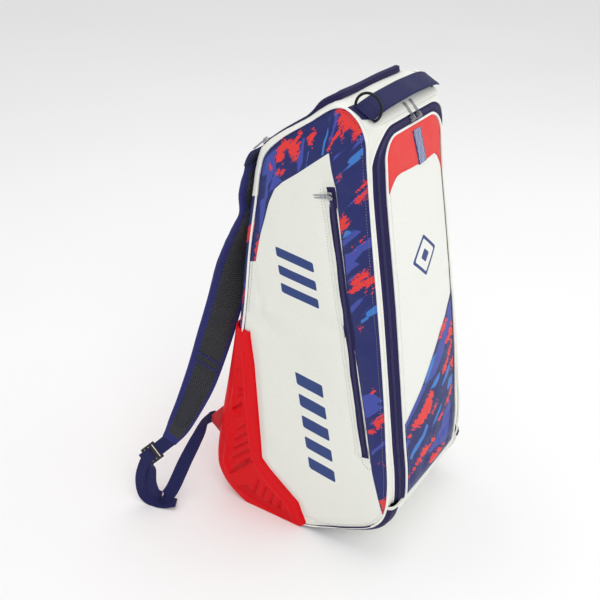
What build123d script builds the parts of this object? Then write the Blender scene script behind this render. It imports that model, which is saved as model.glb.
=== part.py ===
from build123d import *
import math
import os

# Racket backpack standing on a moulded boot.
# Frame: +Z up, front lid towards -Y, back and shoulder straps towards +Y,
# near side (with the side pocket) towards -X. Origin on the floor at the middle of the
# boot's sole. Millimetres.

# ---------------------------------------------------------------- driving dimensions
HALF_W_MID = 126.0      # half width of the bag at Z_MID
Z_MID = 400.0
TAPER_DEG = 2.5         # each side leans in towards the top
PANEL_T = 5.0           # padded side panel thickness
SHELL_T = 4.0           # gusset and lid thickness
TAPE_T = 2.0            # zip tape thickness
SHEET_T = 1.0           # patches, label and pocket zip tape
BOOT_T = 4.0            # boot wall
BOOT_GAP = 0.6          # boot to bag
STRAP_W = 62.0
STRAP_T = 12.0
WEB_W = 25.0
WEB_T = 2.0
TAIL_W = 20.0
HANDLE_W = 32.0
HANDLE_T = 3.0
PIPE_R = 2.2            # side piping
LID_PIPE_R = 1.7
RING_R = 20.5           # D-ring centreline radius
RING_WIRE_R = 2.0

TAPER = math.radians(TAPER_DEG)
TAPER_COS, TAPER_SIN = math.cos(TAPER), math.sin(TAPER)
SIDE_OUT = (-TAPER_COS, 0, TAPER_SIN)       # outward normal of the near side

# The skin, one station per row, from the front end of the sole up the front, over the top
# and down the back: (side y, side z, middle y, middle z, inset). The side profile is the edge
# of the side panels; the middle profile starts "inset" mm in from the side plane.
PROFILE = [
    (-60.0, 4.6, -60.0, 4.6, 16.0),         # 0 front end of the boot
    (-120.0, 28.0, -122.0, 22.0, 18.0),     # 1
    (-160.0, 46.0, -164.0, 39.0, 20.0),     # 2
    (-197.0, 67.0, -204.0, 59.0, 22.0),     # 3
    (-215.0, 89.0, -225.0, 80.0, 24.0),     # 4
    (-223.0, 118.0, -235.0, 112.0, 26.0),   # 5
    (-223.0, 166.0, -236.0, 166.0, 26.0),   # 6
    (-216.5, 223.0, -230.0, 225.0, 26.0),   # 7
    (-207.0, 306.0, -221.0, 308.0, 26.0),   # 8
    (-196.5, 384.0, -211.0, 387.0, 26.0),   # 9
    (-181.6, 483.0, -197.0, 486.0, 26.0),   # 10
    (-170.5, 553.0, -186.0, 556.0, 26.0),   # 11
    (-157.0, 643.0, -172.0, 646.0, 26.0),   # 12
    (-150.0, 693.0, -166.5, 696.0, 26.0),   # 13
    (-145.0, 729.0, -160.0, 737.0, 24.0),   # 14 top front corner
    (-133.0, 752.0, -146.0, 752.5, 20.0),   # 15
    (-112.0, 766.0, -115.0, 768.0, 18.0),   # 16
    (-94.0, 764.0, -86.0, 769.0, 18.0),     # 17 ridge, rear band
    (-53.0, 736.5, -44.0, 741.0, 18.0),     # 18
    (-3.0, 702.0, 9.0, 705.0, 18.0),        # 19
    (23.0, 675.0, 38.0, 679.0, 18.0),       # 20 top back corner
    (31.5, 648.0, 49.0, 651.0, 20.0),       # 21
    (38.0, 598.0, 57.0, 600.0, 20.0),       # 22
    (50.0, 510.0, 69.0, 511.0, 20.0),       # 23
    (58.0, 419.0, 77.0, 420.0, 20.0),       # 24
    (66.0, 352.0, 84.0, 353.0, 18.0),       # 25 top of the boot's corner
    (75.0, 296.0, 92.0, 297.0, 16.0),       # 26
    (86.0, 241.0, 101.0, 242.0, 15.0),      # 27
    (96.0, 195.0, 109.0, 195.0, 14.0),      # 28
    (107.0, 134.0, 119.0, 133.0, 14.0),     # 29
    (114.0, 85.0, 124.0, 83.0, 14.0),       # 30
    (113.0, 60.0, 121.0, 54.0, 14.0),       # 31
    (100.0, 35.0, 105.0, 28.0, 14.0),       # 32
    (80.0, 18.0, 83.0, 11.0, 14.0),         # 33
    (55.0, 4.6, 55.0, 4.6, 14.0),           # 34 back end of the sole
]
STATIONS = len(PROFILE)


# ---------------------------------------------------------------- vector helpers
def lerp(a, b, t):
    return tuple(p + (q - p) * t for p, q in zip(a, b))


def sub(a, b):
    return tuple(p - q for p, q in zip(a, b))


def add(a, b, scale=1.0):
    return tuple(p + q * scale for p, q in zip(a, b))


def cross(a, b):
    return (a[1] * b[2] - a[2] * b[1], a[2] * b[0] - a[0] * b[2], a[0] * b[1] - a[1] * b[0])


def dot(a, b):
    return sum(p * q for p, q in zip(a, b))


def unit(a):
    length = math.sqrt(dot(a, a))
    return tuple(p / length for p in a)


def negated(a):
    return tuple(-p for p in a)


def flip_x(p):
    return (-p[0], p[1], p[2])


def tangent(path, k):
    """direction of an open path at point k"""
    return unit(sub(path[min(k + 1, len(path) - 1)], path[max(k - 1, 0)]))


def interpolate(table, at):
    """piecewise linear value from rows (position, value)"""
    for (at0, value0), (at1, value1) in zip(table, table[1:]):
        if at0 <= at <= at1:
            return value0 + (value1 - value0) * (at - at0) / (at1 - at0)


def smooth(points, steps=2):
    """Catmull-Rom points through points"""
    out = []
    last = len(points) - 1
    for i in range(last):
        p0, p1 = points[max(i - 1, 0)], points[i]
        p2, p3 = points[i + 1], points[min(i + 2, last)]
        for k in range(steps):
            t = k / steps
            out.append(tuple(
                0.5 * (2 * b + (c - a) * t + (2 * a - 5 * b + 4 * c - d) * t * t
                       + (3 * b - a - 3 * c + d) * t ** 3)
                for a, b, c, d in zip(p0, p1, p2, p3)))
    out.append(tuple(float(c) for c in points[-1]))
    return out


# ---------------------------------------------------------------- closed solids from points
def tri_solid(verts, tris):
    """solid from triangles, turned so that its volume is positive"""
    volume = sum(dot(verts[a], cross(verts[b], verts[c])) for a, b, c in tris)
    if volume < 0:
        tris = [(a, c, b) for a, b, c in tris]
    faces = [Face(Wire.make_polygon([verts[k] for k in tri], close=True)) for tri in tris]
    return Solid(Shell(faces))


def grid_solid(outer, inner):
    """closed slab between two grids of points [i][j]"""
    n, m = len(outer), len(outer[0])
    verts = [p for grid in (outer, inner) for row in grid for p in row]

    def o(i, j):
        return i * m + j

    def q(i, j):
        return n * m + i * m + j

    tris = []
    for i in range(n - 1):
        for j in range(m - 1):
            tris += [(o(i, j), o(i + 1, j), o(i + 1, j + 1)),
                     (o(i, j), o(i + 1, j + 1), o(i, j + 1)),
                     (q(i, j), q(i + 1, j + 1), q(i + 1, j)),
                     (q(i, j), q(i, j + 1), q(i + 1, j + 1))]
    e = m - 1
    for i in range(n - 1):
        tris += [(o(i, 0), q(i, 0), q(i + 1, 0)), (o(i, 0), q(i + 1, 0), o(i + 1, 0)),
                 (o(i, e), q(i + 1, e), q(i, e)), (o(i, e), o(i + 1, e), q(i + 1, e))]
    e = n - 1
    for j in range(m - 1):
        tris += [(o(0, j), q(0, j + 1), q(0, j)), (o(0, j), o(0, j + 1), q(0, j + 1)),
                 (o(e, j), q(e, j), q(e, j + 1)), (o(e, j), q(e, j + 1), o(e, j + 1))]
    return tri_solid(verts, tris)


def tube_solid(path, frames, section, closed=False):
    """section, a list of (u, v) offsets, swept along path; frames holds (u, v) per point"""
    sides, count = len(section), len(path)
    verts = [add(add(p, u, a), v, b) for p, (u, v) in zip(path, frames) for a, b in section]
    tris = []
    for i in range(count if closed else count - 1):
        i2 = (i + 1) % count
        for j in range(sides):
            j2 = (j + 1) % sides
            a, b = i * sides + j, i * sides + j2
            c, d = i2 * sides + j2, i2 * sides + j
            tris += [(a, b, c), (a, c, d)]
    if not closed:
        end = (count - 1) * sides
        for j in range(1, sides - 1):
            tris += [(0, j + 1, j), (end, end + j, end + j + 1)]
    return tri_solid(verts, tris)


def round_section(radius, sides):
    angles = [2 * math.pi * (k + 0.5) / sides for k in range(sides)]
    return [(radius * math.cos(a), radius * math.sin(a)) for a in angles]


def cord(path, radius, axis):
    """six-sided cord along path, its section laid out from axis"""
    frames = []
    for k in range(len(path)):
        along = tangent(path, k)
        u = unit(cross(along, axis))
        frames.append((u, unit(cross(along, u))))
    return tube_solid(path, frames, round_section(radius, 6))


def ribbon(path, width_dirs, width, thick):
    """flat strap along path; width is one number or a list with one per point"""
    if not isinstance(width, list):
        width = [width] * len(path)
    frames = []
    for k, wanted in enumerate(width_dirs):
        along = tangent(path, k)
        across = unit(add(wanted, along, -dot(along, wanted)))
        half = tuple(c * width[k] / 2.0 for c in across)
        frames.append((half, unit(cross(along, across))))
    g = thick / 2.0
    return tube_solid(path, frames, [(-1, -g), (1, -g), (1, g), (-1, g)])


# ---------------------------------------------------------------- writing the pieces
os.makedirs("parts", exist_ok=True)


def keep(name, solid):
    solid.label = name
    export_step(solid, f"parts/{name}.step")


def mirrored(solid):
    return mirror(solid, about=Plane.YZ)


def keep_pair(name, solid):
    """a near-side piece and its mirror image on the far side"""
    keep(name + "_near", solid)
    keep(name + "_far", mirrored(solid))


# ---------------------------------------------------------------- the bag's skin
# "at" is a real position along PROFILE. "across" runs 0 near side edge, 1 near middle edge,
# 2 far middle edge, 3 far side edge.
def half_width(z):
    return HALF_W_MID + (Z_MID - z) * math.tan(TAPER)


def skin_normal(at):
    """outward normal of the middle profile, averaged at a station"""
    def segment_normal(k):
        _, _, y0, z0, _ = PROFILE[k % STATIONS]
        _, _, y1, z1, _ = PROFILE[(k + 1) % STATIONS]
        return unit((0.0, z0 - z1, y1 - y0))
    k = math.floor(at)
    here = segment_normal(k)
    if at - k < 1e-6:
        return unit(add(segment_normal(k - 1), here))
    return here


def station_rails(k, grow):
    """the four edge points of the skin at station k, the skin grown outwards by grow"""
    side_y, side_z, mid_y, mid_z, inset = PROFILE[k]
    _, ny, nz = skin_normal(k)
    edge = (-half_width(side_z) - grow, side_y + ny * grow, side_z + nz * grow)
    middle = (-(half_width(mid_z) - inset) - 0.45 * grow, mid_y + ny * grow, mid_z + nz * grow)
    return edge, middle, flip_x(middle), flip_x(edge)


def rails(at, grow=0.0):
    k = math.floor(at)
    here = station_rails(k % STATIONS, grow)
    following = station_rails((k + 1) % STATIONS, grow)
    return [lerp(a, b, at - k) for a, b in zip(here, following)]


def skin_point(at, across, off=0.0):
    """point on the skin, moved off mm outwards along its normal"""
    row = rails(at)
    k = min(int(across), 2)
    return add(lerp(row[k], row[k + 1], across - k), skin_normal(at), off)


PANEL_CLEAR = 0.9               # gusset edge to side panel
INSIDE_NEAR, INSIDE_FAR = -1, -2    # "across" marks: just inside the near, far side panel
FULL = [INSIDE_NEAR, 1.0, 2.0, INSIDE_FAR]


def wrap(ats, acrosses, thick=SHELL_T, off=0.0):
    """slab of skin, its outer face off mm outside the skin"""
    def place(at, across):
        k = math.floor(at)
        inset0, inset1 = PROFILE[k % STATIONS][4], PROFILE[(k + 1) % STATIONS][4]
        inside = (PANEL_T + PANEL_CLEAR) / (inset0 + (inset1 - inset0) * (at - k))
        return {INSIDE_NEAR: inside, INSIDE_FAR: 3 - inside}.get(across, across)

    def layer(lift):
        return [[skin_point(at, place(at, c), lift) for c in acrosses] for at in ats]
    return grid_solid(layer(off), layer(off - thick))


# ---------------------------------------------------------------- side panels
side_plane = Plane(origin=(-HALF_W_MID, 0, Z_MID), x_dir=(0, -1, 0), z_dir=SIDE_OUT)


def side_local(y, z):
    return (-y, (z - Z_MID) / TAPER_COS)


def side_plate(points, thick, lift=0.0):
    """plate from (y, z) points; its outer face is lift mm outside the near side plane"""
    face = make_face(Polyline(*[side_local(y, z) for y, z in points], close=True))
    return extrude(side_plane.offset(lift) * face, amount=-thick, dir=SIDE_OUT)


def side_point(y, z, lift=0.0):
    p = side_plane.from_local_coords(Vector(*side_local(y, z), lift))
    return (p.X, p.Y, p.Z)


# pocket zip ends, (y, z) on the near side plane
ZIP_TOP, ZIP_FOOT = (-93.5, 643.8), (-178.7, 206.7)
ZIP_LEN = math.dist(ZIP_TOP, ZIP_FOOT)
ZIP_DOWN = unit(sub(ZIP_FOOT, ZIP_TOP))
ZIP_ACROSS = (-ZIP_DOWN[1], ZIP_DOWN[0])


def zip_strip(past_end, width):
    """(y, z) rectangle along the zip, running past_end mm beyond both of its ends"""
    start, end, half = -past_end, ZIP_LEN + past_end, width / 2
    corners = ((start, -half), (end, -half), (end, half), (start, half))
    return [add(add(ZIP_TOP, ZIP_DOWN, s), ZIP_ACROSS, q) for s, q in corners]


side_outline = [row[:2] for row in PROFILE]
slot = side_plate(zip_strip(-8, 5.0), 30.0, lift=10.0)
keep("side_panel_near", (side_plate(side_outline, PANEL_T) - slot).solids()[0])
keep("side_panel_far", mirrored(side_plate(side_outline, PANEL_T)))

# tape with a raised coil
tape = side_plate(zip_strip(4, 14.0), SHEET_T, lift=1.3)
coil = side_plate(zip_strip(-2, 3.6), 1.5, lift=2.3)
keep("pocket_zip_tape", (tape + coil).solids()[0])

# pocket bag behind the panel
POCKET = [(-118, 640), (-185, 210), (-60, 170), (-20, 560)]     # (y, z)
keep("side_pocket_bag", side_plate(POCKET, 2.0, lift=-(PANEL_T + 1.0)))

# ---------------------------------------------------------------- gussets
keep("top_gusset", wrap([14.38, 15, 16, 16.75], FULL))
keep("bottom_gusset", wrap([0.05, 1, 2, 3, 4, 4.9], FULL))
keep("lower_back_gusset", wrap([25.1, *range(26, 35)], FULL, off=-1.6))
keep("base_panel", wrap([34.05, 34.95], FULL))

# white strips beside the rear flap, then down the back edges
keep_pair("rear_gusset", wrap([17.1, 18, 19, 19.95], [INSIDE_NEAR, 0.90]))
keep_pair("back_gusset", wrap([20.1, 21, 22, 23, 24, 24.9], [INSIDE_NEAR, 0.93]))

# ---------------------------------------------------------------- back panel
# the panel, the mesh pad on it and the stiffener sheet inside
keep("back_panel", wrap([20.15, 21, 22, 23, 24, 24.9], [1.03, 1.97], thick=6.0))
keep("back_pad", wrap([21.35, 22, 23, 24, 24.75], [1.28, 1.72], thick=6.0, off=6.6))
keep("back_stiffener", wrap([20.6, 21, 22, 23, 24, 24.8], [1.1, 1.9], thick=1.6, off=-6.6))

# ---------------------------------------------------------------- rear flap on the slanted top
keep("rear_flap", wrap([17.12, 18, 19, 19.93], [1.035, 1.965], off=1.0))

# the band stands proud across the top, in front of the flap
BAND_HALF_LEN = 91.0
BAND_OUTER = [(-84.8, 779.6), (-89.2, 778.8)]     # (y, z)
BAND_INNER = [(-81.0, 770.2), (-87.6, 770.2)]
keep("rear_zip_band", grid_solid(*[
    [[(x, y, z) for y, z in layer] for x in (-BAND_HALF_LEN, BAND_HALF_LEN)]
    for layer in (BAND_OUTER, BAND_INNER)]))
keep_pair("rear_zip_tape", wrap([17.25, 18, 19, 19.85], [0.60, 0.86], thick=TAPE_T, off=2.6))

# ---------------------------------------------------------------- front lid
LID_Z0, LID_Z1 = 112.0, 724.0    # lid face, lower and upper edge
LID_R = 34.0                     # upper corner radius
LID_CROWN = 5.0                  # the face bulges this much in the middle
CROWN_FADE = 120.0               # height over which the crown dies out
FACE_INSET = 2.2                 # face edge inside the lid's edge
TOP_K = 0.72                     # growth along the top edge against growth at the sides
TOP_RECESS = 0.4                 # recess of the loops along the top
TAPE_Z0 = 122.0                  # lower ends of the zip tapes
# half width of the lid, (z, x)
LID_EDGE = [(100, 90), (170, 95), (234, 97), (292, 98), (374, 97),
            (474, 94), (563, 92), (639, 90), (724, 88)]
LID_HEIGHTS = [166, 230, 306, 387, 486, 556, 620, LID_Z1 - LID_R]   # points up the side
CORNER_STEPS = 5

FRONT = [(mid_z, mid_y) for _, _, mid_y, mid_z, _ in PROFILE[4:16]]


def front_y(z):
    """middle profile of the front at height z, up to the bevel above the top front corner"""
    return interpolate(FRONT, z)


def lid_y(z, across):
    """crowned lid face; across is -1 and 1 at its side edges"""
    fade = min(1.0, (LID_Z1 - z) / CROWN_FADE, (z - LID_Z0) / CROWN_FADE + 0.2)
    return front_y(z) - LID_CROWN * (1 - across ** 2) * fade


def lid_half_loop(grow, z_low):
    """(x, z) up the near edge and round the corner to the top, grown outwards"""
    out = [(-(interpolate(LID_EDGE, z) + grow), z) for z in [z_low] + LID_HEIGHTS]
    radius = LID_R + grow * TOP_K
    centre_x = out[-1][0] + radius
    for k in range(1, CORNER_STEPS + 1):
        a = math.radians(180 - 90 * k / CORNER_STEPS)
        out.append((centre_x + radius * math.cos(a), LID_Z1 - LID_R + radius * math.sin(a)))
    return out


def lid_loop(grow, z_low, recess):
    """U-shaped loop on the front, recess mm behind the middle profile at the sides"""
    half = lid_half_loop(grow, z_low)
    out = []
    for x, z in half + [(-x, z) for x, z in reversed(half)]:
        side = (LID_Z1 + grow * TOP_K - z) / (LID_R + grow * TOP_K)
        side = max(0.0, min(1.0, side))
        out.append((x, front_y(z) + TOP_RECESS + (recess - TOP_RECESS) * side, z))
    return out


def lid_band(grow0, recess0, grow1, recess1):
    """zip tape between two loops round the lid"""
    edge0 = lid_loop(grow0, TAPE_Z0, recess0)
    edge1 = lid_loop(grow1, TAPE_Z0, recess1)
    outer, inner = [], []
    for k, (a, b) in enumerate(zip(edge0, edge1)):
        out = unit(cross(tangent(edge0, k), unit(sub(b, a))))
        if out[1] > 0:          # outwards is to the front
            out = negated(out)
        outer.append([a, b])
        inner.append([add(a, out, -TAPE_T), add(b, out, -TAPE_T)])
    return grid_solid(outer, inner)


def lid_face(recess):
    return [[(-f * x, lid_y(z, f) + recess, z) for f in (-1.0, -0.5, 0.0, 0.5, 1.0)]
            for x, z in lid_half_loop(-FACE_INSET, LID_Z0)]


keep("lid_panel", grid_solid(lid_face(0.0), lid_face(SHELL_T)))
keep("lid_zip_tape", lid_band(3.0, 1.4, 12.0, 6.0))
keep("body_zip_tape", lid_band(13.2, 6.6, 22.5, 12.0))
keep("lid_piping", cord(lid_loop(0.2, 118.0, -0.2), LID_PIPE_R, (0, 1, 0)))

# ---------------------------------------------------------------- red top patches and label
PATCH_TOP = 718.0
PATCH_HALF_W = 84.0


def on_lid(rows, lift):
    """flat sheet on the lid face through rows of (x, z), its outer face lift mm proud"""
    def layer(forward):
        return [[(x, lid_y(z, x / (interpolate(LID_EDGE, z) - FACE_INSET)) - forward, z)
                 for x, z in row] for row in rows]
    return grid_solid(layer(lift), layer(lift - SHEET_T))


def patch_row(x):
    """lower and upper edge of the patch: low at both corners, arched in the middle"""
    a = abs(x) / PATCH_HALF_W
    low = 664.0 - 34.0 * max(0.0, (a - 0.72) / 0.28) ** 1.3
    return [(x, low), (x, PATCH_TOP - max(0.0, abs(x) - 58) * 0.9)]


for side, xs in (("near", (-PATCH_HALF_W, -72, -60, -44, -28, -7)),
                 ("far", (24, 44, 60, 72, PATCH_HALF_W))):
    keep("lid_patch_" + side, on_lid([patch_row(x) for x in xs], 2.2))
# the woven label between the two patches
keep("lid_label", on_lid([[(x, 662.0), (x, PATCH_TOP)] for x in (-5.0, 8.5, 22.0)], 2.4))

# ---------------------------------------------------------------- side piping
# stops at the boot
pipe_path = []
for at in [0.3, *range(1, 25), 24.6]:
    out = unit(add(tuple(0.75 * c for c in SIDE_OUT), skin_normal(at), 0.66))
    pipe_path.append(add(skin_point(at, 0.0), out, PIPE_R + 0.7))
keep_pair("side_piping", cord(pipe_path, PIPE_R, (1, 0, 0)))

# ---------------------------------------------------------------- inside
DIVIDER_Y = -60.0
DIVIDER_T = 8.0


def cross_plate(y0, y1, z0, z1, inset):
    """upright plate across the bag between y0 and y1, following the taper"""
    w0, w1 = half_width(z0) - inset, half_width(z1) - inset
    face = make_face(Polyline((-w0, z0), (w0, z0), (w1, z1), (-w1, z1), close=True))
    return Pos(0, y0, 0) * extrude(Plane.XZ * face, amount=y1 - y0, dir=(0, 1, 0))


keep("compartment_divider", cross_plate(DIVIDER_Y - DIVIDER_T / 2, DIVIDER_Y + DIVIDER_T / 2,
                                        14.0, 728.0, PANEL_T + 4.0))
keep("divider_pocket", cross_plate(DIVIDER_Y + 5, DIVIDER_Y + 7, 330.0, 520.0, PANEL_T + 34.0))
keep("base_stiffener", Pos(0, -2, 11.6) * Box(230, 100, 2.4))

# ---------------------------------------------------------------- boot
# a shell laid over the skin: sole and back wall, and two cheeks with upright horns
BOOT_STATIONS = [24.85, *range(25, 35), 34.98]
# front edge of a cheek from the horn down to the sole, (y, z)
BOOT_EDGE = [
    (53.0, 362.0), (43.6, 279.0), (38.3, 230.0), (31.0, 149.0), (26.0, 116.0),
    (10.0, 98.0), (-35.0, 64.0), (-52.0, 51.0), (-58.5, 32.0), (-62.0, 8.0),
]
# opening in the back wall between the two horns, (x, z)
BOOT_WINDOW = [(-84, 420), (-72, 250), (-48, 190), (48, 190), (72, 250), (84, 420)]
WINDOW_DEPTH = 200

boot_outer = [rails(at, BOOT_GAP + BOOT_T) for at in BOOT_STATIONS]
boot_inner = [rails(at, BOOT_GAP) for at in BOOT_STATIONS]
wall = grid_solid(boot_outer, boot_inner)
back_curve = [row[0][1:] for row in reversed(boot_outer)]
cheek = side_plate(BOOT_EDGE + back_curve, BOOT_T, lift=BOOT_T + BOOT_GAP)
boot = wall + cheek + mirrored(cheek)
window = Plane.XZ * make_face(Polyline(*BOOT_WINDOW, close=True))
window = Pos(0, WINDOW_DEPTH, 0) * extrude(window, amount=WINDOW_DEPTH, dir=(0, -1, 0))
keep("boot", (boot - window).solids()[0])

# anchor tabs of the lower webbings: red wedges behind the boot's back corners
TAB = [(116.5, 184.0), (143.0, 153.0), (143.0, 140.0), (126.5, 120.0)]     # (y, z)
TAB_X0, TAB_X1 = -131.0, -117.0
tab = extrude(Plane.YZ * make_face(Polyline(*TAB, close=True)),
              amount=TAB_X1 - TAB_X0, dir=(1, 0, 0))
keep_pair("boot_tab", Pos(TAB_X0, 0, 0) * tab)

# ---------------------------------------------------------------- carry handle and D-ring
HANDLE_ACROSS = unit((0.0, 0.88, 0.47))     # across the handle webbing, back edge high
# near half of the handle, (x, y, z)
HANDLE_HALF = [(-105.0, -137.5, 762.5), (-93.0, -139.0, 766.0), (-75.0, -140.5, 769.0),
               (-48.0, -141.5, 771.5), (-20.0, -142.0, 772.5)]
handle_path = HANDLE_HALF + [flip_x(p) for p in reversed(HANDLE_HALF)]
keep("carry_handle", ribbon(handle_path, [HANDLE_ACROSS] * len(handle_path),
                            HANDLE_W, HANDLE_T))
keep_pair("handle_base", wrap([15.05, 15.5, 15.95], [0.34, 0.98], thick=1.1, off=2.0))

# an arc of 240 degrees closed by a straight bar
RING_CENTRE = (-99.0, -141.2, 769.6)
RING_STEPS = 12
ring_up = (0.0, -HANDLE_ACROSS[2], HANDLE_ACROSS[1])
ring = []
for k in range(RING_STEPS + 1):
    a = math.radians(-30 + 240 * k / RING_STEPS)
    p = add(RING_CENTRE, HANDLE_ACROSS, RING_R * math.cos(a))
    ring.append(add(p, ring_up, RING_R * math.sin(a)))
ring_frames = []
for k in range(len(ring)):
    along = unit(sub(ring[(k + 1) % len(ring)], ring[k - 1]))
    ring_frames.append(((1.0, 0.0, 0.0), unit(cross(along, (1.0, 0.0, 0.0)))))
keep("d_ring", tube_solid(ring, ring_frames, round_section(RING_WIRE_R, 8), closed=True))

# ---------------------------------------------------------------- shoulder straps
# near strap from the top down: (point, width direction, width)
STRAP = [
    ((-88, 62.0, 646), (1, 0, 0), 52),
    ((-88, 71.5, 600), (1, 0, 0), 58),
    ((-88, 71.0, 567), (1, 0, 0), 60),
    ((-89, 88.0, 532), (1, -0.05, 0), STRAP_W),
    ((-90, 104.0, 492), (1, -0.2, 0), STRAP_W),
    ((-94, 121, 406), (0.62, -0.76, -0.1), STRAP_W),
    ((-120, 137, 314), (0.45, -0.86, -0.25), STRAP_W),
    ((-155, 149, 233), (0.4, -0.85, -0.33), 58),
    ((-198, 166, 160), (0.2, -0.8, -0.55), 44),
    ((-214, 175, 137), (0.05, -0.74, -0.66), 28),
]
points, width_dirs, widths = zip(*STRAP)
smooth_widths = [w for w, in smooth([(w,) for w in widths])]
keep_pair("shoulder_strap", ribbon(smooth(points), smooth(width_dirs), smooth_widths, STRAP_T))

# upper anchors: webbing patches sewn to the back panel just under the flap
ANCHOR_X = (-110, -66)
ANCHOR_OUTER = [(51.5, 664.0), (54.0, 654.0)]     # (y, z)
ANCHOR_INNER = [(49.3, 662.0), (52.6, 653.0)]
keep_pair("strap_anchor", grid_solid(*[
    [[(x, y, z) for y, z in layer] for x in ANCHOR_X]
    for layer in (ANCHOR_OUTER, ANCHOR_INNER)]))

# ladder-lock buckle at the strap's lower end: a plate with three slots
BUCKLE_CENTRE = (-231.0, 203.0, 107.0)
BUCKLE_DOWN = unit((-0.37, 0.64, -0.67))
BUCKLE_ACROSS = unit((0.0, -0.72, -0.69))
SLOT_PITCH = 9.5
buckle = Box(34, 30, 5)
for k in (-1, 0, 1):
    buckle = buckle - Pos(0, k * SLOT_PITCH, 0) * Box(26.5, 5.0, 12)
buckle = fillet(buckle.edges().filter_by(Axis.Z), 1.2)
buckle_plane = Plane(origin=BUCKLE_CENTRE, x_dir=BUCKLE_ACROSS,
                     z_dir=cross(BUCKLE_ACROSS, BUCKLE_DOWN))
keep_pair("ladder_lock", buckle_plane * buckle)

# webbing that joins the padded strap to the buckle
loop_path = [add(points[-1], BUCKLE_DOWN, 6.0), add(BUCKLE_CENTRE, BUCKLE_DOWN, -17.0)]
keep_pair("strap_loop", ribbon(loop_path, [BUCKLE_ACROSS] * 2, WEB_W, 3.0))

# ---------------------------------------------------------------- lower webbings
# from the boot tab down towards the floor and up behind to the buckle: (point, width direction)
LOWER_WEBBING = [
    ((-124.0, 147.5, 146.0), (0.1, -0.2, 0.97)),
    ((-143.0, 151.0, 143.0), (0.5, -0.5, 0.6)),
    ((-158.0, 154.0, 122.0), (0.75, -0.6, 0.3)),
    ((-190.0, 163.0, 78.0), (0.7, -0.6, 0.3)),
    ((-222.0, 174.0, 26.0), (0.6, -0.75, 0.2)),
    ((-232.0, 182.0, 14.0), (0.5, -0.85, 0.0)),
    ((-239.0, 198.0, 22.0), (0.4, -0.9, -0.2)),
    ((-240.0, 206.0, 48.0), (0.3, -0.9, -0.3)),
    ((-235.0, 206.0, 80.0), (0.1, -0.85, -0.4)),
]
# loose end, from the buckle down to the floor and forwards
WEBBING_TAIL = [
    ((-240.0, 217.0, 84.0), (0.1, -0.85, -0.4)),
    ((-248.0, 223.0, 50.0), (0.3, -0.9, -0.2)),
    ((-250.0, 217.0, 18.0), (0.5, -0.8, 0.2)),
    ((-245.0, 201.0, 6.0), (0.8, -0.3, 0.5)),
    ((-238.0, 178.0, 5.0), (0.9, 0.2, 0.3)),
    ((-228.0, 158.0, 9.0), (0.9, 0.4, 0.1)),
]
for name, table, width in (("lower_webbing", LOWER_WEBBING, WEB_W),
                           ("webbing_tail", WEBBING_TAIL, TAIL_W)):
    points, width_dirs = zip(*table)
    keep_pair(name, ribbon(smooth(points), smooth(width_dirs), width, WEB_T))

# ---------------------------------------------------------------- zip sliders and pullers
EYE_Z = 4.2         # height of the puller's wire above the slider's underside
PLATE_X = -7.0      # near end of the puller plate from the slider's middle


def slider(plane, turned=False):
    """flat base with a bridge, z up from the tape; turned sets the bridge across x"""
    base = Pos(0, 0, 1.4) * Box(12, 8.4, 2.8)
    base = fillet(base.edges().filter_by(Axis.Z), 2.0)
    bridge = Pos(0, 0, 4.4) * Box(7.8, 2.4, 3.8)
    eye = Pos(0, 0, EYE_Z) * Box(5.0, 6, 2.2)
    if turned:
        bridge, eye = Rot(0, 0, 90) * bridge, Rot(0, 0, 90) * eye
    return plane * ((base + bridge) - eye)


def puller(plane, length, width=6.0):
    """slotted plate with a wire eye through the slider's bridge, lying along -x"""
    wire = Pos(0, 0, EYE_Z) * Box(1.2, 5.8, 1.2)
    for y in (2.45, -2.45):
        wire = wire + Pos(-3.6, y, EYE_Z) * Box(8.4, 0.9, 1.2)
    plate = Pos(PLATE_X - length / 2.0, 0, EYE_Z) * Box(length, width, 1.8)
    plate = fillet(plate.edges().filter_by(Axis.Z).group_by(Axis.X)[0], 2.2)
    plate = plate - Pos(PLATE_X - length * 0.6, 0, EYE_Z) * Box(length * 0.5, width * 0.3, 6)
    return plane * (wire + plate)


# side pocket slider at the top of its zip; the puller lies back, square to the zip
pocket_origin = side_point(*add(ZIP_TOP, ZIP_DOWN, 8.0), lift=2.7)
zip_dir = unit(sub(side_point(*ZIP_FOOT), side_point(*ZIP_TOP)))
keep("pocket_slider", slider(Plane(origin=pocket_origin, x_dir=zip_dir, z_dir=SIDE_OUT),
                             turned=True))
keep("pocket_puller", puller(Plane(origin=pocket_origin, x_dir=unit(cross(SIDE_OUT, zip_dir)),
                                   z_dir=SIDE_OUT), 24.0))

# lid sliders at the top front edge, pullers lying back over the top
LID_ZIP_Z = LID_Z1 + 12.4 * TOP_K
LID_SLIDER_OUT = unit((0.0, -0.766, 0.643))
LID_PULL = unit((0.10, 0.731, 0.682))
lid_pull_out = unit(cross(LID_PULL, cross((0.0, -0.682, 0.731), LID_PULL)))
for side, x in (("near", -7.0), ("far", 12.0)):
    origin = (x, front_y(LID_ZIP_Z) - 2.6, LID_ZIP_Z + 0.4)
    keep("lid_slider_" + side,
         slider(Plane(origin=origin, x_dir=(1, 0, 0), z_dir=LID_SLIDER_OUT), turned=True))
    # the puller turns about the slider's eye
    pull_origin = add(add(origin, LID_SLIDER_OUT, EYE_Z), lid_pull_out, -EYE_Z)
    keep("lid_puller_" + side,
         puller(Plane(origin=pull_origin, x_dir=negated(LID_PULL), z_dir=lid_pull_out), 20.0))

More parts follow.
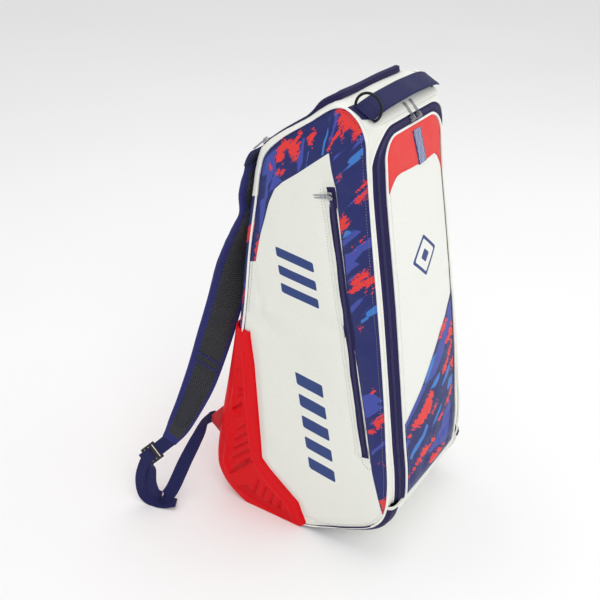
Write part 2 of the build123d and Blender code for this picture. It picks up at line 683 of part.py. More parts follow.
# rear slider at the lower near end of the flap's zip
REAR_ACROSS = 0.73      # middle of the rear zip tape
rear_up = unit(sub(skin_point(19.05, REAR_ACROSS, 3.2), skin_point(19.85, REAR_ACROSS, 3.2)))
rear_plane = Plane(origin=skin_point(19.70, REAR_ACROSS, 5.2), x_dir=rear_up,
                   z_dir=skin_normal(19.5))
keep("rear_slider", slider(rear_plane))
keep("rear_puller", puller(rear_plane, 22.0))
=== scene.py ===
"""A tall white backpack standing on the floor, +Z up.

The zipped lid faces -Y, the padded back and shoulder straps face +Y, and the near side is at -X.
A red moulded boot wraps the lower back corner. Shapes are worked out in millimetres and scaled
to metres when a mesh is made. Only the near half is described where the two sides match.
"""
import bmesh
import bpy
import math
import numpy as np
from functools import cached_property
from mathutils import Matrix, Vector


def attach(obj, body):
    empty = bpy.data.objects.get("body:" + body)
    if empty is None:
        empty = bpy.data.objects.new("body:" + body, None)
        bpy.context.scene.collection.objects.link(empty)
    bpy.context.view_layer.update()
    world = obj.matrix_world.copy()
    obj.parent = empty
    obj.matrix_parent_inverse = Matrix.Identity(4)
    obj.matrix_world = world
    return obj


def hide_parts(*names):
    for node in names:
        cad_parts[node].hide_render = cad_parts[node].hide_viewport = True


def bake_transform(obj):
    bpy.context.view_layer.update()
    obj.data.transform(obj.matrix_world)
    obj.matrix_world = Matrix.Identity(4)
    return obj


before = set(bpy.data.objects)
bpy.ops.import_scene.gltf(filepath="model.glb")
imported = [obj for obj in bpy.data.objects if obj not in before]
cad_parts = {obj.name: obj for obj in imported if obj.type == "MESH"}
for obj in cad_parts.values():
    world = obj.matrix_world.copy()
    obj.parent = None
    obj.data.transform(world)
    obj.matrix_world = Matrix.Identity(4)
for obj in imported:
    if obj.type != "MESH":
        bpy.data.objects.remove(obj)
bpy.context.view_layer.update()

MM = 0.001
FLIP = np.array([-1.0, 1, 1])          # mirrors near to far
SIDES = (("near", np.array([1.0, 1, 1])), ("far", FLIP))
OUT = np.array([-1.0, 0, 0])           # outwards on the near side


# ---------------------------------------------------------------- colours
def srgb(*levels):
    """Linear colour from 0..255 sRGB levels."""
    def linear(c):
        return c / 12.92 if c <= 0.04045 else ((c + 0.055) / 1.055) ** 2.4
    return tuple(linear(level / 255) for level in levels)


def shade(color, factor, add=0.0):
    return tuple(min(1, c * factor + add) for c in color)


WHITE = srgb(236, 237, 229)
LID_WHITE = srgb(239, 240, 234)
NAVY = srgb(36, 44, 106)
NAVY_TAPE = srgb(38, 34, 78)
MID_BLUE = srgb(66, 78, 165)
BRIGHT_BLUE = srgb(62, 122, 200)
PRINT_RED = srgb(232, 58, 56)
MARK_BLUE = srgb(46, 66, 122)


# ---------------------------------------------------------------- material builder
class Value:
    """A shader socket; arithmetic on it adds Math nodes."""

    def __init__(self, owner, socket):
        self.owner = owner
        self.socket = socket

    def __add__(self, other):
        return self.owner.math("ADD", self, other)

    def __sub__(self, other):
        return self.owner.math("SUBTRACT", self, other)

    def __mul__(self, other):
        return self.owner.math("MULTIPLY", self, other)

    def __truediv__(self, other):
        return self.owner.math("DIVIDE", self, other)

    def __abs__(self):
        return self.owner.math("ABSOLUTE", self)


class Material:
    """Small builder for a procedural material."""

    def __init__(self, name, base, rough, metal=0.0, sheen=0.0, spec=0.5):
        self.material = bpy.data.materials.new(name)
        self.material.use_nodes = True
        self.tree = self.material.node_tree
        self.bsdf = [n for n in self.tree.nodes if n.type == "BSDF_PRINCIPLED"][0]
        self.set(self.bsdf, {"Roughness": rough, "Metallic": metal, "Base Color": (*base, 1),
                             "Specular IOR Level": spec})
        if sheen:
            self.set(self.bsdf, {"Sheen Weight": sheen, "Sheen Roughness": 0.4})
        self.material.diffuse_color = (*base, 1)
        self.last_bump = None

    def set(self, node, inputs):
        for key, value in inputs.items():
            if isinstance(value, Value):
                self.tree.links.new(value.socket, node.inputs[key])
            else:
                node.inputs[key].default_value = value

    def node(self, kind, output, inputs, **props):
        node = self.tree.nodes.new(kind)
        for key, value in props.items():
            setattr(node, key, value)
        self.set(node, inputs)
        return Value(self, node.outputs[output])

    @cached_property
    def position(self):
        return self.node("ShaderNodeTexCoord", "Object", {})

    def uv(self):
        return self.node("ShaderNodeUVMap", 0, {}, uv_map="UVMap")

    def uv_parts(self):
        """u and v of the UV map, both in mm."""
        node = self.tree.nodes.new("ShaderNodeSeparateXYZ")
        self.set(node, {0: self.uv()})
        return Value(self, node.outputs[0]), Value(self, node.outputs[1])

    def math(self, operation, a, b=0.0):
        return self.node("ShaderNodeMath", 0, {0: a, 1: b, 2: 0.0}, operation=operation)

    def fract(self, value):
        return self.math("FRACT", value)

    def zigzag(self, value):
        """0.5 at whole numbers, falling to 0 half way between."""
        return abs(self.fract(value) - 0.5)

    def noise(self, vector, scale, detail=3, rough=0.55):
        return self.node("ShaderNodeTexNoise", 0, {"Vector": vector, "Scale": scale,
                                                   "Detail": detail, "Roughness": rough})

    def cells(self, vector, scale):
        return self.node("ShaderNodeTexVoronoi", "Distance", {"Vector": vector, "Scale": scale},
                         feature="SMOOTH_F1")

    def wave(self, vector, scale, axis):
        return self.node("ShaderNodeTexWave", "Fac", {"Vector": vector, "Scale": scale},
                         bands_direction=axis)

    def mapping(self, vector, scale=(1, 1, 1), rot=(0, 0, 0)):
        return self.node("ShaderNodeMapping", 0,
                         {"Vector": vector, "Rotation": rot, "Scale": scale})

    def attr(self, name):
        return self.node("ShaderNodeAttribute", "Fac", {}, attribute_name=name)

    def ramp(self, value, span, out=(0.0, 1.0)):
        """Map span to out, clamped."""
        return self.node("ShaderNodeMapRange", 0, {0: value, 1: span[0], 2: span[1],
                                                   3: out[0], 4: out[1]}, clamp=True)

    def inside(self, distance, soft):
        """1 where a signed distance (mm) is negative, blurred over soft either way."""
        return self.ramp(distance, span=(-soft, soft), out=(1.0, 0.0))

    def mix(self, factor, a, b):
        a, b = (v if isinstance(v, Value) else (*v, 1) for v in (a, b))
        return self.node("ShaderNodeMix", 2, {0: factor, 6: a, 7: b}, data_type="RGBA")

    def color(self, value):
        self.set(self.bsdf, {"Base Color": value})

    def rough(self, value):
        self.set(self.bsdf, {"Roughness": value})

    def bump(self, height, strength, distance):
        """Add a bump on top of the ones before it."""
        inputs = {"Strength": strength, "Distance": distance, "Height": height}
        if self.last_bump is not None:
            inputs["Normal"] = self.last_bump
        self.last_bump = self.node("ShaderNodeBump", 0, inputs)
        self.set(self.bsdf, {"Normal": self.last_bump})


# ---------------------------------------------------------------- materials
def leather_grain(mat, base, scale=520):
    """Pebbled coated fabric: cells with fine noise, painted shade in the crevices between the
    cells, slightly uneven colour and gloss.
    """
    place = mat.position
    cells = mat.cells(place, scale=scale)
    fine = mat.noise(place, scale=scale * 2.4)
    mat.bump(cells * -0.9 + fine * 0.35, strength=0.35, distance=0.0007)
    broad = mat.noise(place, scale=9)
    mat.bump(broad, strength=0.12, distance=0.004)
    gloss = mat.noise(place, scale=60, detail=4)
    mat.rough(mat.ramp(gloss, span=(0.3, 0.7), out=(0.42, 0.56)))
    # painted shade: the cells' low edges are painted 7% darker
    color = mat.mix(mat.ramp(cells, span=(0.35, 0.95)), base, shade(base, 0.93))
    return mat.mix(mat.ramp(broad, span=(0.42, 0.75), out=(0, 0.35)), color, shade(base, 0.95))


def leather(name, base, scale=520):
    mat = Material(name, base, rough=0.52, spec=0.28)
    mat.color(leather_grain(mat, base, scale))
    return mat


def printed(name, base, lean, stretch):
    """Leather printed by distance attributes (mm); lean and stretch set the torn streaks."""
    mat = Material(name, base, rough=0.52, spec=0.28)
    color = leather_grain(mat, base)
    place = mat.position
    streaks = mat.mapping(mat.mapping(place, rot=lean), scale=stretch)
    torn = mat.noise(streaks, scale=1.0, detail=5, rough=0.65)
    specks = mat.noise(mat.mapping(place), scale=340, rough=0.6)
    trim = mat.inside(mat.attr("sd_trim"), soft=0.35)
    ink = mat.mix(mat.ramp(torn, span=(0.45, 0.62), out=(0, 0.55)), NAVY, shade(NAVY, 0.82))
    middle = mat.attr("sd_mid") + (torn - 0.5) * 3.0
    ink = mat.mix(mat.inside(middle, soft=0.5), ink, MID_BLUE)
    bright = mat.attr("sd_bright") + (torn - 0.5) * 1.5
    ink = mat.mix(mat.inside(bright, soft=0.4), ink, BRIGHT_BLUE)
    red = mat.attr("sd_red") + (torn - 0.5) * 30.0
    red = red + (specks - 0.5) * 16.0
    ink = mat.mix(mat.inside(red, soft=0.4), ink, PRINT_RED)
    color = mat.mix(trim, color, ink)
    mark = mat.inside(mat.attr("sd_mark"), soft=0.3)
    uneven = mat.ramp(mat.noise(place, scale=700, detail=2), span=(0.35, 0.7), out=(0, 0.35))
    mat.color(mat.mix(mark, color, mat.mix(uneven, MARK_BLUE, shade(MARK_BLUE, 1.35))))
    return mat


def fabric(name, base, fine=900, sheen=0.35, rough=0.8, strength=0.5):
    """Woven cloth: two crossed thread waves plus fuzz."""
    mat = Material(name, base, rough=rough, sheen=sheen)
    turn = (0.5, 0.3, 0.2)
    warp = mat.wave(mat.mapping(mat.position, rot=turn), scale=fine, axis="X")
    weft = mat.wave(mat.mapping(mat.position, rot=turn), scale=fine, axis="Z")
    height = warp * 0.5 + weft * 0.5
    height = height + mat.noise(mat.position, scale=fine * 0.8, detail=2) * 0.5
    mat.bump(height, strength=strength, distance=0.0006)
    # painted shade in the weave's hollows and painted highlight on its raised threads
    color = mat.mix(mat.ramp(height, span=(0.4, 1.1)), shade(base, 0.78), shade(base, 1.2))
    patchy = mat.ramp(mat.noise(mat.position, scale=14), span=(0.4, 0.7), out=(0, 0.25))
    mat.color(mat.mix(patchy, color, shade(base, 0.75)))
    return mat


def webbing(name, base, pitch=1.6):
    """Ribbed webbing: herringbone ribs, pitch mm apart along v."""
    mat = Material(name, base, rough=0.75, sheen=0.12, spec=0.25)
    u, v = mat.uv_parts()
    zig = mat.zigzag(u / 6.0)
    rib = mat.zigzag(v / pitch + zig * 4.0)
    height = rib + mat.zigzag(u / 1.5) * 0.6
    mat.bump(height, strength=0.6, distance=0.0006)
    mat.bump(mat.noise(mat.position, scale=900, detail=2), strength=0.2, distance=0.0004)
    # painted shade between the ribs and painted highlight on their crowns
    color = mat.mix(mat.ramp(height, span=(0.15, 0.75)), shade(base, 0.7), shade(base, 1.25))
    patchy = mat.ramp(mat.noise(mat.position, scale=30), span=(0.45, 0.75), out=(0, 0.2))
    mat.color(mat.mix(patchy, color, shade(base, 0.7)))
    return mat


def spacer_mesh(name, base, cell, hole):
    """Knitted face with staggered holes painted dark as painted shade; cell in mm, hole as a
    share of the cell.
    """
    mat = Material(name, base, rough=0.85, sheen=0.25)
    u, v = mat.uv_parts()
    pitch = cell * 0.86
    row = mat.math("FLOOR", v / pitch)
    shift = mat.fract(row * 0.5) * 1.0
    x = mat.fract(u / cell + shift) - 0.5
    y = mat.fract(v / pitch) - 0.5
    radius = mat.math("SQRT", x * x + y * y)
    solid = mat.ramp(radius, span=(hole - 0.05, hole + 0.09))
    mat.bump(solid, strength=0.9, distance=0.0012)
    mat.bump(mat.noise(mat.position, scale=1300, detail=2), strength=0.35, distance=0.0004)
    fleck = mat.ramp(mat.noise(mat.position, scale=500, detail=2), span=(0.3, 0.7))
    yarn = mat.mix(fleck, base, shade(base, 2.0, add=0.006))
    # painted shade: the holes are painted at 0.3 of the yarn colour
    mat.color(mat.mix(solid, shade(base, 0.3), yarn))
    return mat


def moulded(name, base):
    """Moulding, darkened by painted shade and lightened by painted highlight, both read from a
    per-point attribute set from the relief.
    """
    mat = Material(name, base, rough=0.42, spec=0.16)
    place = mat.position
    mat.bump(mat.noise(place, scale=900), strength=0.10, distance=0.0004)
    mat.bump(mat.noise(place, scale=26), strength=0.10, distance=0.002)
    gloss = mat.noise(place, scale=45, detail=4)
    mat.rough(mat.ramp(gloss, span=(0.3, 0.7), out=(0.36, 0.52)))
    patchy = mat.ramp(mat.noise(place, scale=12, detail=2), span=(0.35, 0.7), out=(0, 0.35))
    color = mat.mix(patchy, base, shade(base, 0.82))
    # painted shade where the attribute is below zero and painted highlight where it is above
    # zero, standing in for light on the relief
    painted_relief_light = mat.attr("painted_relief_light")
    color = mat.mix(mat.ramp(painted_relief_light, span=(0, -1), out=(0, 0.6)), color, shade(base, 0.55))
    painted_highlight_color = (min(1, base[0] * 1.12), base[1] + 0.02, base[2] + 0.02)
    mat.color(mat.mix(mat.ramp(painted_relief_light, span=(0, 1), out=(0, 0.55)), color, painted_highlight_color))
    return mat


def metal(name, base, rough):
    mat = Material(name, base, rough=rough, metal=1.0)
    place = mat.position
    brushed = mat.noise(mat.mapping(place, scale=(1, 1, 6)), scale=500)
    mat.bump(brushed, strength=0.12, distance=0.0003)
    gloss = mat.noise(place, scale=260, detail=4)
    mat.rough(mat.ramp(gloss, span=(0.3, 0.75), out=(rough - 0.08, rough + 0.18)))
    patchy = mat.ramp(mat.noise(place, scale=140), span=(0.45, 0.8), out=(0, 0.5))
    mat.color(mat.mix(patchy, base, shade(base, 0.62)))
    return mat


def plastic(name, base, rough):
    mat = Material(name, base, rough=rough)
    place = mat.position
    mat.bump(mat.noise(place, scale=1400, detail=2), strength=0.2, distance=0.0003)
    gloss = mat.noise(place, scale=90)
    mat.rough(mat.ramp(gloss, span=(0.3, 0.7), out=(rough - 0.05, rough + 0.12)))
    patchy = mat.ramp(mat.noise(place, scale=60, detail=2), span=(0.4, 0.7), out=(0, 0.4))
    mat.color(mat.mix(patchy, base, shade(base, 1.5, add=0.004)))
    return mat


def thread(name, base):
    mat = Material(name, base, rough=0.7, sheen=0.3)
    twist = mat.wave(mat.mapping(mat.position, rot=(0.6, 0.6, 0.6)), scale=1400, axis="X")
    mat.bump(twist, strength=0.5, distance=0.0003)
    fleck = mat.ramp(mat.noise(mat.position, scale=800, detail=2), span=(0.3, 0.7))
    mat.color(mat.mix(fleck, base, shade(base, 0.75)))
    return mat


def zip_tape(name, base):
    """Fine woven rows, 1.3 mm apart across and 0.9 mm along."""
    mat = Material(name, base, rough=0.8, sheen=0.1, spec=0.2)
    u, v = mat.uv_parts()
    height = mat.zigzag(u / 1.3) + mat.zigzag(v / 0.9) * 0.5
    mat.bump(height, strength=0.5, distance=0.0005)
    # painted shade in the low rows and painted highlight on the raised ones
    mat.color(mat.mix(mat.ramp(height, span=(0.1, 0.7)), shade(base, 0.7), shade(base, 1.35)))
    return mat


def woven_label(name):
    """Navy selvedges, wavy light bands on blue; u runs about 0..27 mm across."""
    mat = Material(name, NAVY, rough=0.75, sheen=0.3)
    u, v = mat.uv_parts()
    wobble = mat.math("SINE", v * 0.5) * 1.5
    w = mat.fract((u + wobble) / 4.6)
    band = mat.ramp(w, span=(0.30, 0.40)) * mat.ramp(w, span=(0.74, 0.64))
    color = mat.mix(band, srgb(44, 66, 150), srgb(214, 226, 240))
    edge = mat.ramp(abs(u - 13.5), span=(10.2, 10.6))
    mat.color(mat.mix(edge, color, srgb(34, 42, 110)))
    mat.bump(mat.wave(mat.uv(), scale=1.2, axis="Y"), strength=0.5, distance=0.0005)
    return mat


MATS = dict(
    white=leather("white_leather", WHITE),
    side=printed("side_leather", WHITE, lean=(math.radians(-42), 0, 0), stretch=(30, 170, 34)),
    lid=printed("lid_leather", LID_WHITE, lean=(0, math.radians(-38), 0), stretch=(26, 26, 190)),
    piping=plastic("white_piping", srgb(240, 240, 233), rough=0.42),
    tape=zip_tape("navy_zip_tape", NAVY_TAPE),
    coil=plastic("navy_coil", shade(NAVY_TAPE, 1.25), rough=0.45),
    web=webbing("navy_webbing", srgb(30, 32, 84)),
    bind=webbing("navy_binding", srgb(44, 46, 112), pitch=1.1),
    mesh=spacer_mesh("black_mesh", srgb(33, 35, 41), cell=4.3, hole=0.30),
    backmesh=spacer_mesh("back_mesh", srgb(30, 34, 40), cell=5.2, hole=0.28),
    backfab=fabric("back_fabric", srgb(36, 38, 48)),
    lining=fabric("lining", srgb(70, 74, 84), fine=600, sheen=0.2, rough=0.75, strength=0.35),
    stiff=plastic("stiffener", srgb(96, 100, 104), rough=0.55),
    red=moulded("red_moulding", srgb(222, 0, 16)),
    redleather=leather("red_leather", srgb(232, 60, 56), scale=560),
    redtab=fabric("red_tab", srgb(206, 22, 36), fine=700, sheen=0.3, rough=0.7, strength=0.4),
    label=woven_label("woven_label"),
    zinc=metal("zip_metal", (0.40, 0.41, 0.44), rough=0.30),
    blackmetal=metal("black_metal", (0.03, 0.035, 0.04), rough=0.34),
    plastic=plastic("black_plastic", srgb(26, 26, 32), rough=0.38),
    th_navy=thread("thread_navy", srgb(24, 30, 96)),
    th_white=thread("thread_white", srgb(214, 214, 204)),
    th_beige=thread("thread_beige", srgb(196, 188, 170)),
    th_red=thread("thread_red", srgb(190, 30, 34)),
    th_black=thread("thread_black", srgb(24, 24, 34)),
)


# ---------------------------------------------------------------- curves and distances
def hill(distance, width, power=2):
    """1 at zero, falling away over width."""
    return np.exp(-(distance / width) ** power)


def ramp01(x):
    return np.clip(x, 0, 1)


def smoothstep(x, start=0.0, end=1.0):
    t = ramp01((x - start) / (end - start))
    return t * t * (3 - 2 * t)


def unit(v):
    v = np.asarray(v, float)
    return v / np.maximum(np.linalg.norm(v, axis=-1, keepdims=True), 1e-9)


def xyz(*parts):
    return np.stack(np.broadcast_arrays(*parts), -1)


def run_length(path):
    steps = np.linalg.norm(np.diff(path, axis=0), axis=1)
    return np.concatenate([[0], np.cumsum(steps)])


def length(path):
    return float(np.linalg.norm(np.diff(path, axis=0), axis=1).sum())


def along(values, run, where):
    """Rows of values, given at run, read off at where."""
    return np.stack([np.interp(where, run, values[:, c]) for c in range(values.shape[1])], -1)


def resample(path, n):
    run = run_length(path)
    return along(path, run, np.linspace(0, run[-1], n))


def resample_dirs(dirs, n):
    dirs = np.asarray(dirs, float)
    return unit(along(dirs, np.arange(len(dirs)), np.linspace(0, len(dirs) - 1, n)))


def smooth(values, n):
    """Running mean over n samples."""
    return np.convolve(np.pad(values, n // 2, "edge"), np.ones(n) / n, "valid")


def catmull_rom(points, steps, g):
    """Catmull-Rom between the middle two of four points; steps are the knot spacings."""
    p0, p1, p2, p3 = points
    t1, t2, t3 = np.cumsum(steps, axis=0)
    t = t1 + (t2 - t1) * g
    a1 = (t1 - t) / t1 * p0 + t / t1 * p1
    a2 = (t2 - t) / (t2 - t1) * p1 + (t - t1) / (t2 - t1) * p2
    a3 = (t3 - t) / (t3 - t2) * p2 + (t - t2) / (t3 - t2) * p3
    b1 = (t2 - t) / t2 * a1 + t / t2 * a2
    b2 = (t3 - t) / (t3 - t1) * a2 + (t - t1) / (t3 - t1) * a3
    return (t2 - t) / (t2 - t1) * b1 + (t - t1) / (t2 - t1) * b2


def curve(points, n):
    """Centripetal Catmull-Rom through points, as n points evenly spaced by length."""
    points = np.asarray(points, float)
    ends = np.vstack([2 * points[0] - points[1], points, 2 * points[-1] - points[-2]])
    steps = np.maximum(np.linalg.norm(np.diff(ends, axis=0), axis=1), 1e-6) ** 0.5
    spans = []
    for i in range(len(points) - 1):
        g = np.linspace(0, 1, 24, endpoint=(i == len(points) - 2))[:, None]
        spans.append(catmull_rom(ends[i:i + 4], steps[i:i + 3], g))
    return resample(np.concatenate(spans), n)


def frames(path, hint):
    """Tangent, width direction (hint made square to the tangent) and normal."""
    tangent = unit(np.gradient(path, axis=0))
    hint = np.broadcast_to(np.asarray(hint, float), path.shape)
    across = unit(hint - (hint * tangent).sum(1, keepdims=True) * tangent)
    return tangent, across, unit(np.cross(tangent, across))


def round_section(r, n):
    a = np.arange(n) * 2 * np.pi / n
    return np.stack([r * np.cos(a), r * np.sin(a)], 1)


def flat_section(width, thick):
    """Rounded flat section, with extra points across the faces so that it can bend."""
    r = min(thick / 2, width / 2) * 0.98
    w, t = width / 2 - r, thick / 2 - r
    points = []
    for cx, cy, start in ((w, t, 0), (-w, t, 90), (-w, -t, 180), (w, -t, 270)):
        for turn in (0, 45, 90):
            a = math.radians(start + turn)
            points.append((cx + r * math.cos(a), cy + r * math.sin(a)))
        if start in (0, 180):
            x0, y = points[-1]
            points += [(x0 - 2 * x0 * q / 4, y) for q in range(1, 4)]
    return np.array(points)


def wrinkles(points, scale, seed):
    """Smooth value in about -1..1 from sums of waves; scale is the wavelength in mm."""
    rng = np.random.RandomState(seed)
    total = np.zeros(points.shape[:-1])
    for _ in range(7):
        d = rng.normal(size=3)
        d /= np.linalg.norm(d)
        f = 2 * np.pi / (scale * rng.uniform(0.6, 1.7))
        total += (np.sin((points @ d) * f + rng.uniform(0, 6.28))
                  * np.sin((points @ np.roll(d, 1)) * f * 0.7 + rng.uniform(0, 6.28)))
    return total / 2.6


def line_dist(points, line):
    """Distance from points (..., 2) to an open line."""
    line = np.asarray(line, float)
    nearest = np.full(points.shape[:-1], 1e9)
    for a, b in zip(line, line[1:]):
        e = b - a
        w = points - a
        q = w - ramp01((w @ e) / max(e @ e, 1e-9))[..., None] * e
        nearest = np.minimum(nearest, (q * q).sum(-1))
    return np.sqrt(nearest)


def outline_dist(points, outline):
    """Signed distance from points (..., 2) to a closed outline, negative inside."""
    ring = np.asarray([*outline, outline[0]], float)
    x, y = points[..., 0], points[..., 1]
    inside = np.zeros(points.shape[:-1], bool)
    for a, b in zip(ring, ring[1:]):
        crosses = ((a[1] <= y) & (b[1] > y)) | ((b[1] <= y) & (a[1] > y))
        rise = b[1] - a[1] if b[1] != a[1] else 1e-9
        inside ^= crosses & (x < a[0] + (y - a[1]) / rise * (b[0] - a[0]))
    d = line_dist(points, ring)
    return np.where(inside, -d, d)


def outlines_dist(points, outlines):
    """Signed distance to the nearest of several outlines, at most 60."""
    nearest = np.full(points.shape[:-1], 60.0)
    for outline in outlines:
        nearest = np.minimum(nearest, outline_dist(points, outline))
    return nearest


def sample(grid, row, col):
    """Bilinear reading of a 2-D grid at real row and column."""
    row = np.clip(row, 0, grid.shape[0] - 1.001)
    col = np.clip(col, 0, grid.shape[1] - 1.001)
    a, b = row.astype(int), col.astype(int)
    r, c = row - a, col - b
    return ((1 - r) * (1 - c) * grid[a, b] + (1 - r) * c * grid[a, b + 1]
            + r * (1 - c) * grid[a + 1, b] + r * c * grid[a + 1, b + 1])


# ---------------------------------------------------------------- meshes (mm in, metres out)
def finish_object(name, mesh, mats, face_mats=None, attrs=None, uv=None, sharp=42,
                  recalc=False, body="bag", replaces="", slot=None, blend=None):
    for key in mats.split():
        mesh.materials.append(MATS[key].material)
    # validate() may have dropped faces, and the indices only fit a full set
    if face_mats is not None and len(mesh.polygons) == len(face_mats):
        mesh.polygons.foreach_set("material_index", np.asarray(face_mats, np.int32))
    for key, values in (attrs or {}).items():
        attribute = mesh.attributes.new(key, "FLOAT", "POINT")
        attribute.data.foreach_set("value", np.asarray(values, np.float32).ravel())
    if uv is not None:
        layer = mesh.uv_layers.new(name="UVMap")
        corner = np.zeros(len(mesh.loops), np.int32)
        mesh.loops.foreach_get("vertex_index", corner)
        layer.data.foreach_set("uv", np.asarray(uv, np.float32)[corner].ravel())
    mesh.polygons.foreach_set("use_smooth", np.ones(len(mesh.polygons), bool))
    if sharp:
        mesh.set_sharp_from_angle(angle=math.radians(sharp))
    if recalc:
        bm = bmesh.new()
        bm.from_mesh(mesh)
        bmesh.ops.recalc_face_normals(bm, faces=bm.faces)
        bm.to_mesh(mesh)
        bm.free()
    obj = bpy.data.objects.new(name, mesh)
    bpy.context.scene.collection.objects.link(obj)
    if blend:
        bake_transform(obj)
    else:
        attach(obj, body)
    if replaces:
        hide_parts(*replaces.split())


def build(name, verts, faces, mats, **options):
    """Object from vertices and an array of faces that all have the same corner count."""
    mesh = bpy.data.meshes.new(name)
    mesh.vertices.add(len(verts))
    mesh.vertices.foreach_set("co", (verts * MM).astype(np.float32).ravel())
    mesh.loops.add(faces.size)
    mesh.loops.foreach_set("vertex_index", faces.astype(np.int32).ravel())
    mesh.polygons.add(len(faces))
    starts = np.arange(0, faces.size, faces.shape[1], dtype=np.int32)
    mesh.polygons.foreach_set("loop_start", starts)
    mesh.update(calc_edges=True)
    mesh.validate()
    finish_object(name, mesh, mats, **options)


def grid_faces(rows, cols, base=0, wrap_rows=False, wrap_cols=False):
    i = np.arange(rows if wrap_rows else rows - 1)[:, None]
    j = np.arange(cols if wrap_cols else cols - 1)[None, :]
    i2, j2 = (i + 1) % rows, (j + 1) % cols
    return xyz(i * cols + j, i2 * cols + j, i2 * cols + j2, i * cols + j2).reshape(-1, 4) + base


def slab_mesh(outer, inner):
    """Closed slab between two (rows, cols, 3) grids.

    Returns vertices, faces and each face's kind: 0 outer, 1 inner, 2 rim.
    """
    n, m = outer.shape[:2]
    half = n * m
    verts = np.concatenate([outer.reshape(-1, 3), inner.reshape(-1, 3)])
    front = grid_faces(n, m)
    back = grid_faces(n, m, half)[:, ::-1]
    rim = []
    a = (n - 1) * m
    for j in range(m - 1):
        rim.append((j, j + 1, half + j + 1, half + j))
        rim.append((a + j + 1, a + j, half + a + j, half + a + j + 1))
    e = m - 1
    for i in range(n - 1):
        b, c = i * m, (i + 1) * m
        rim.append((c, b, half + b, half + c))
        rim.append((b + e, c + e, half + c + e, half + b + e))
    faces = np.concatenate([front, back, np.array(rim)])
    kind = np.repeat([0, 1, 2], [len(front), len(back), len(rim)])
    # turn the faces outwards by the sign of the volume
    p0, p1, p2, p3 = (verts[faces[:, c]] - verts.mean(0) for c in range(4))
    volume = (np.einsum("ij,ij->i", p0, np.cross(p1, p2)).sum()
              + np.einsum("ij,ij->i", p0, np.cross(p2, p3)).sum())
    if volume < 0:
        faces = faces[:, ::-1]
    return verts, faces, kind


def grid_runs(grid):
    """Lengths along the columns' and the rows' direction, from the first column and row."""
    across = np.linalg.norm(np.diff(grid, axis=1), axis=2)
    down = np.linalg.norm(np.diff(grid, axis=0), axis=2)
    u = np.concatenate([np.zeros((grid.shape[0], 1)), np.cumsum(across, 1)], 1)
    v = np.concatenate([np.zeros((1, grid.shape[1])), np.cumsum(down, 0)], 0)
    return u, v


def grid_uv(grid):
    u, v = grid_runs(grid)
    mid = grid.shape[1] // 2
    return xyz(u, v[:, mid:mid + 1]).reshape(-1, 2)


def slab(name, outer, inner, mats, attrs=None, **options):
    """Slab object; three materials go to its outer face, inner face and rim."""
    verts, faces, kind = slab_mesh(outer, inner)
    uv = grid_uv(outer)
    attrs = {key: np.concatenate([a.ravel()] * 2) for key, a in (attrs or {}).items()}
    build(name, verts, faces, mats, face_mats=kind if len(mats.split()) == 3 else None,
          attrs=attrs, uv=np.concatenate([uv, uv]), **options)


def sweep(name, path, hint, section, mats, closed=False, **options):
    """Section (m, 2), as offsets along the width and the normal, swept along path."""
    _, across, normal = frames(path, hint)
    n, m = len(path), len(section)
    verts = (path[:, None] + section[None, :, :1] * across[:, None]
             + section[None, :, 1:] * normal[:, None]).reshape(-1, 3)
    faces = grid_faces(n, m, 0, closed, True)
    uv = xyz(run_length(section)[None, :], run_length(path)[:, None]).reshape(-1, 2)
    if closed:
        build(name, verts, faces, mats, uv=uv, **options)
        return
    start, last = len(verts), (n - 1) * m
    verts = np.vstack([verts, verts[:m].mean(0), verts[-m:].mean(0)])
    uv = np.vstack([uv, uv[0], uv[-1]])
    j = np.arange(m)
    j2 = (j + 1) % m
    caps = np.concatenate([xyz(j, j2, start), xyz(last + j2, last + j, start + 1)])
    mesh = bpy.data.meshes.new(name)
    mesh.from_pydata((verts * MM).tolist(), [], faces.tolist() + caps.tolist())
    mesh.validate()
    finish_object(name, mesh, mats, uv=uv, sharp=50, recalc=True, **options)


# stitches gathered by (body, thread), built together at the end
STITCHES = {}


def stitch_row(path, normal, thread="th_navy", long=2.4, gap=1.2, r=0.4, body="bag"):
    """Row of raised stitches along path."""
    lift = 0.25
    total = length(path)
    run = run_length(path)
    normal = np.broadcast_to(normal, path.shape)
    for q in range(max(int(total / (long + gap)), 1)):
        a = (q + 0.15) * (long + gap)
        b = a + long
        if b > total:
            break
        start, end = along(path, run, a), along(path, run, b)
        up = unit(along(normal, run, (a + b) / 2))
        side = np.cross(unit(end - start), up)
        mid = (start + end) / 2 + up * (lift + r * 0.4)
        low = up * (lift - r * 0.5)
        STITCHES.setdefault((body, thread), []).append(np.array([
            start + low, mid + side * r, mid + up * r * 0.9,
            mid - side * r, mid - up * r * 0.9, end + low]))


def build_stitches():
    triangles = np.array([(0, 1, 2), (0, 2, 3), (0, 3, 4), (0, 4, 1),
                          (5, 2, 1), (5, 3, 2), (5, 4, 3), (5, 1, 4)])
    for (body, thread), stitches in STITCHES.items():
        base = (np.arange(len(stitches)) * 6)[:, None, None]
        build("stitches_%s_%s" % (body, thread), np.concatenate(stitches),
              (base + triangles).reshape(-1, 3), thread, body=body, sharp=None)


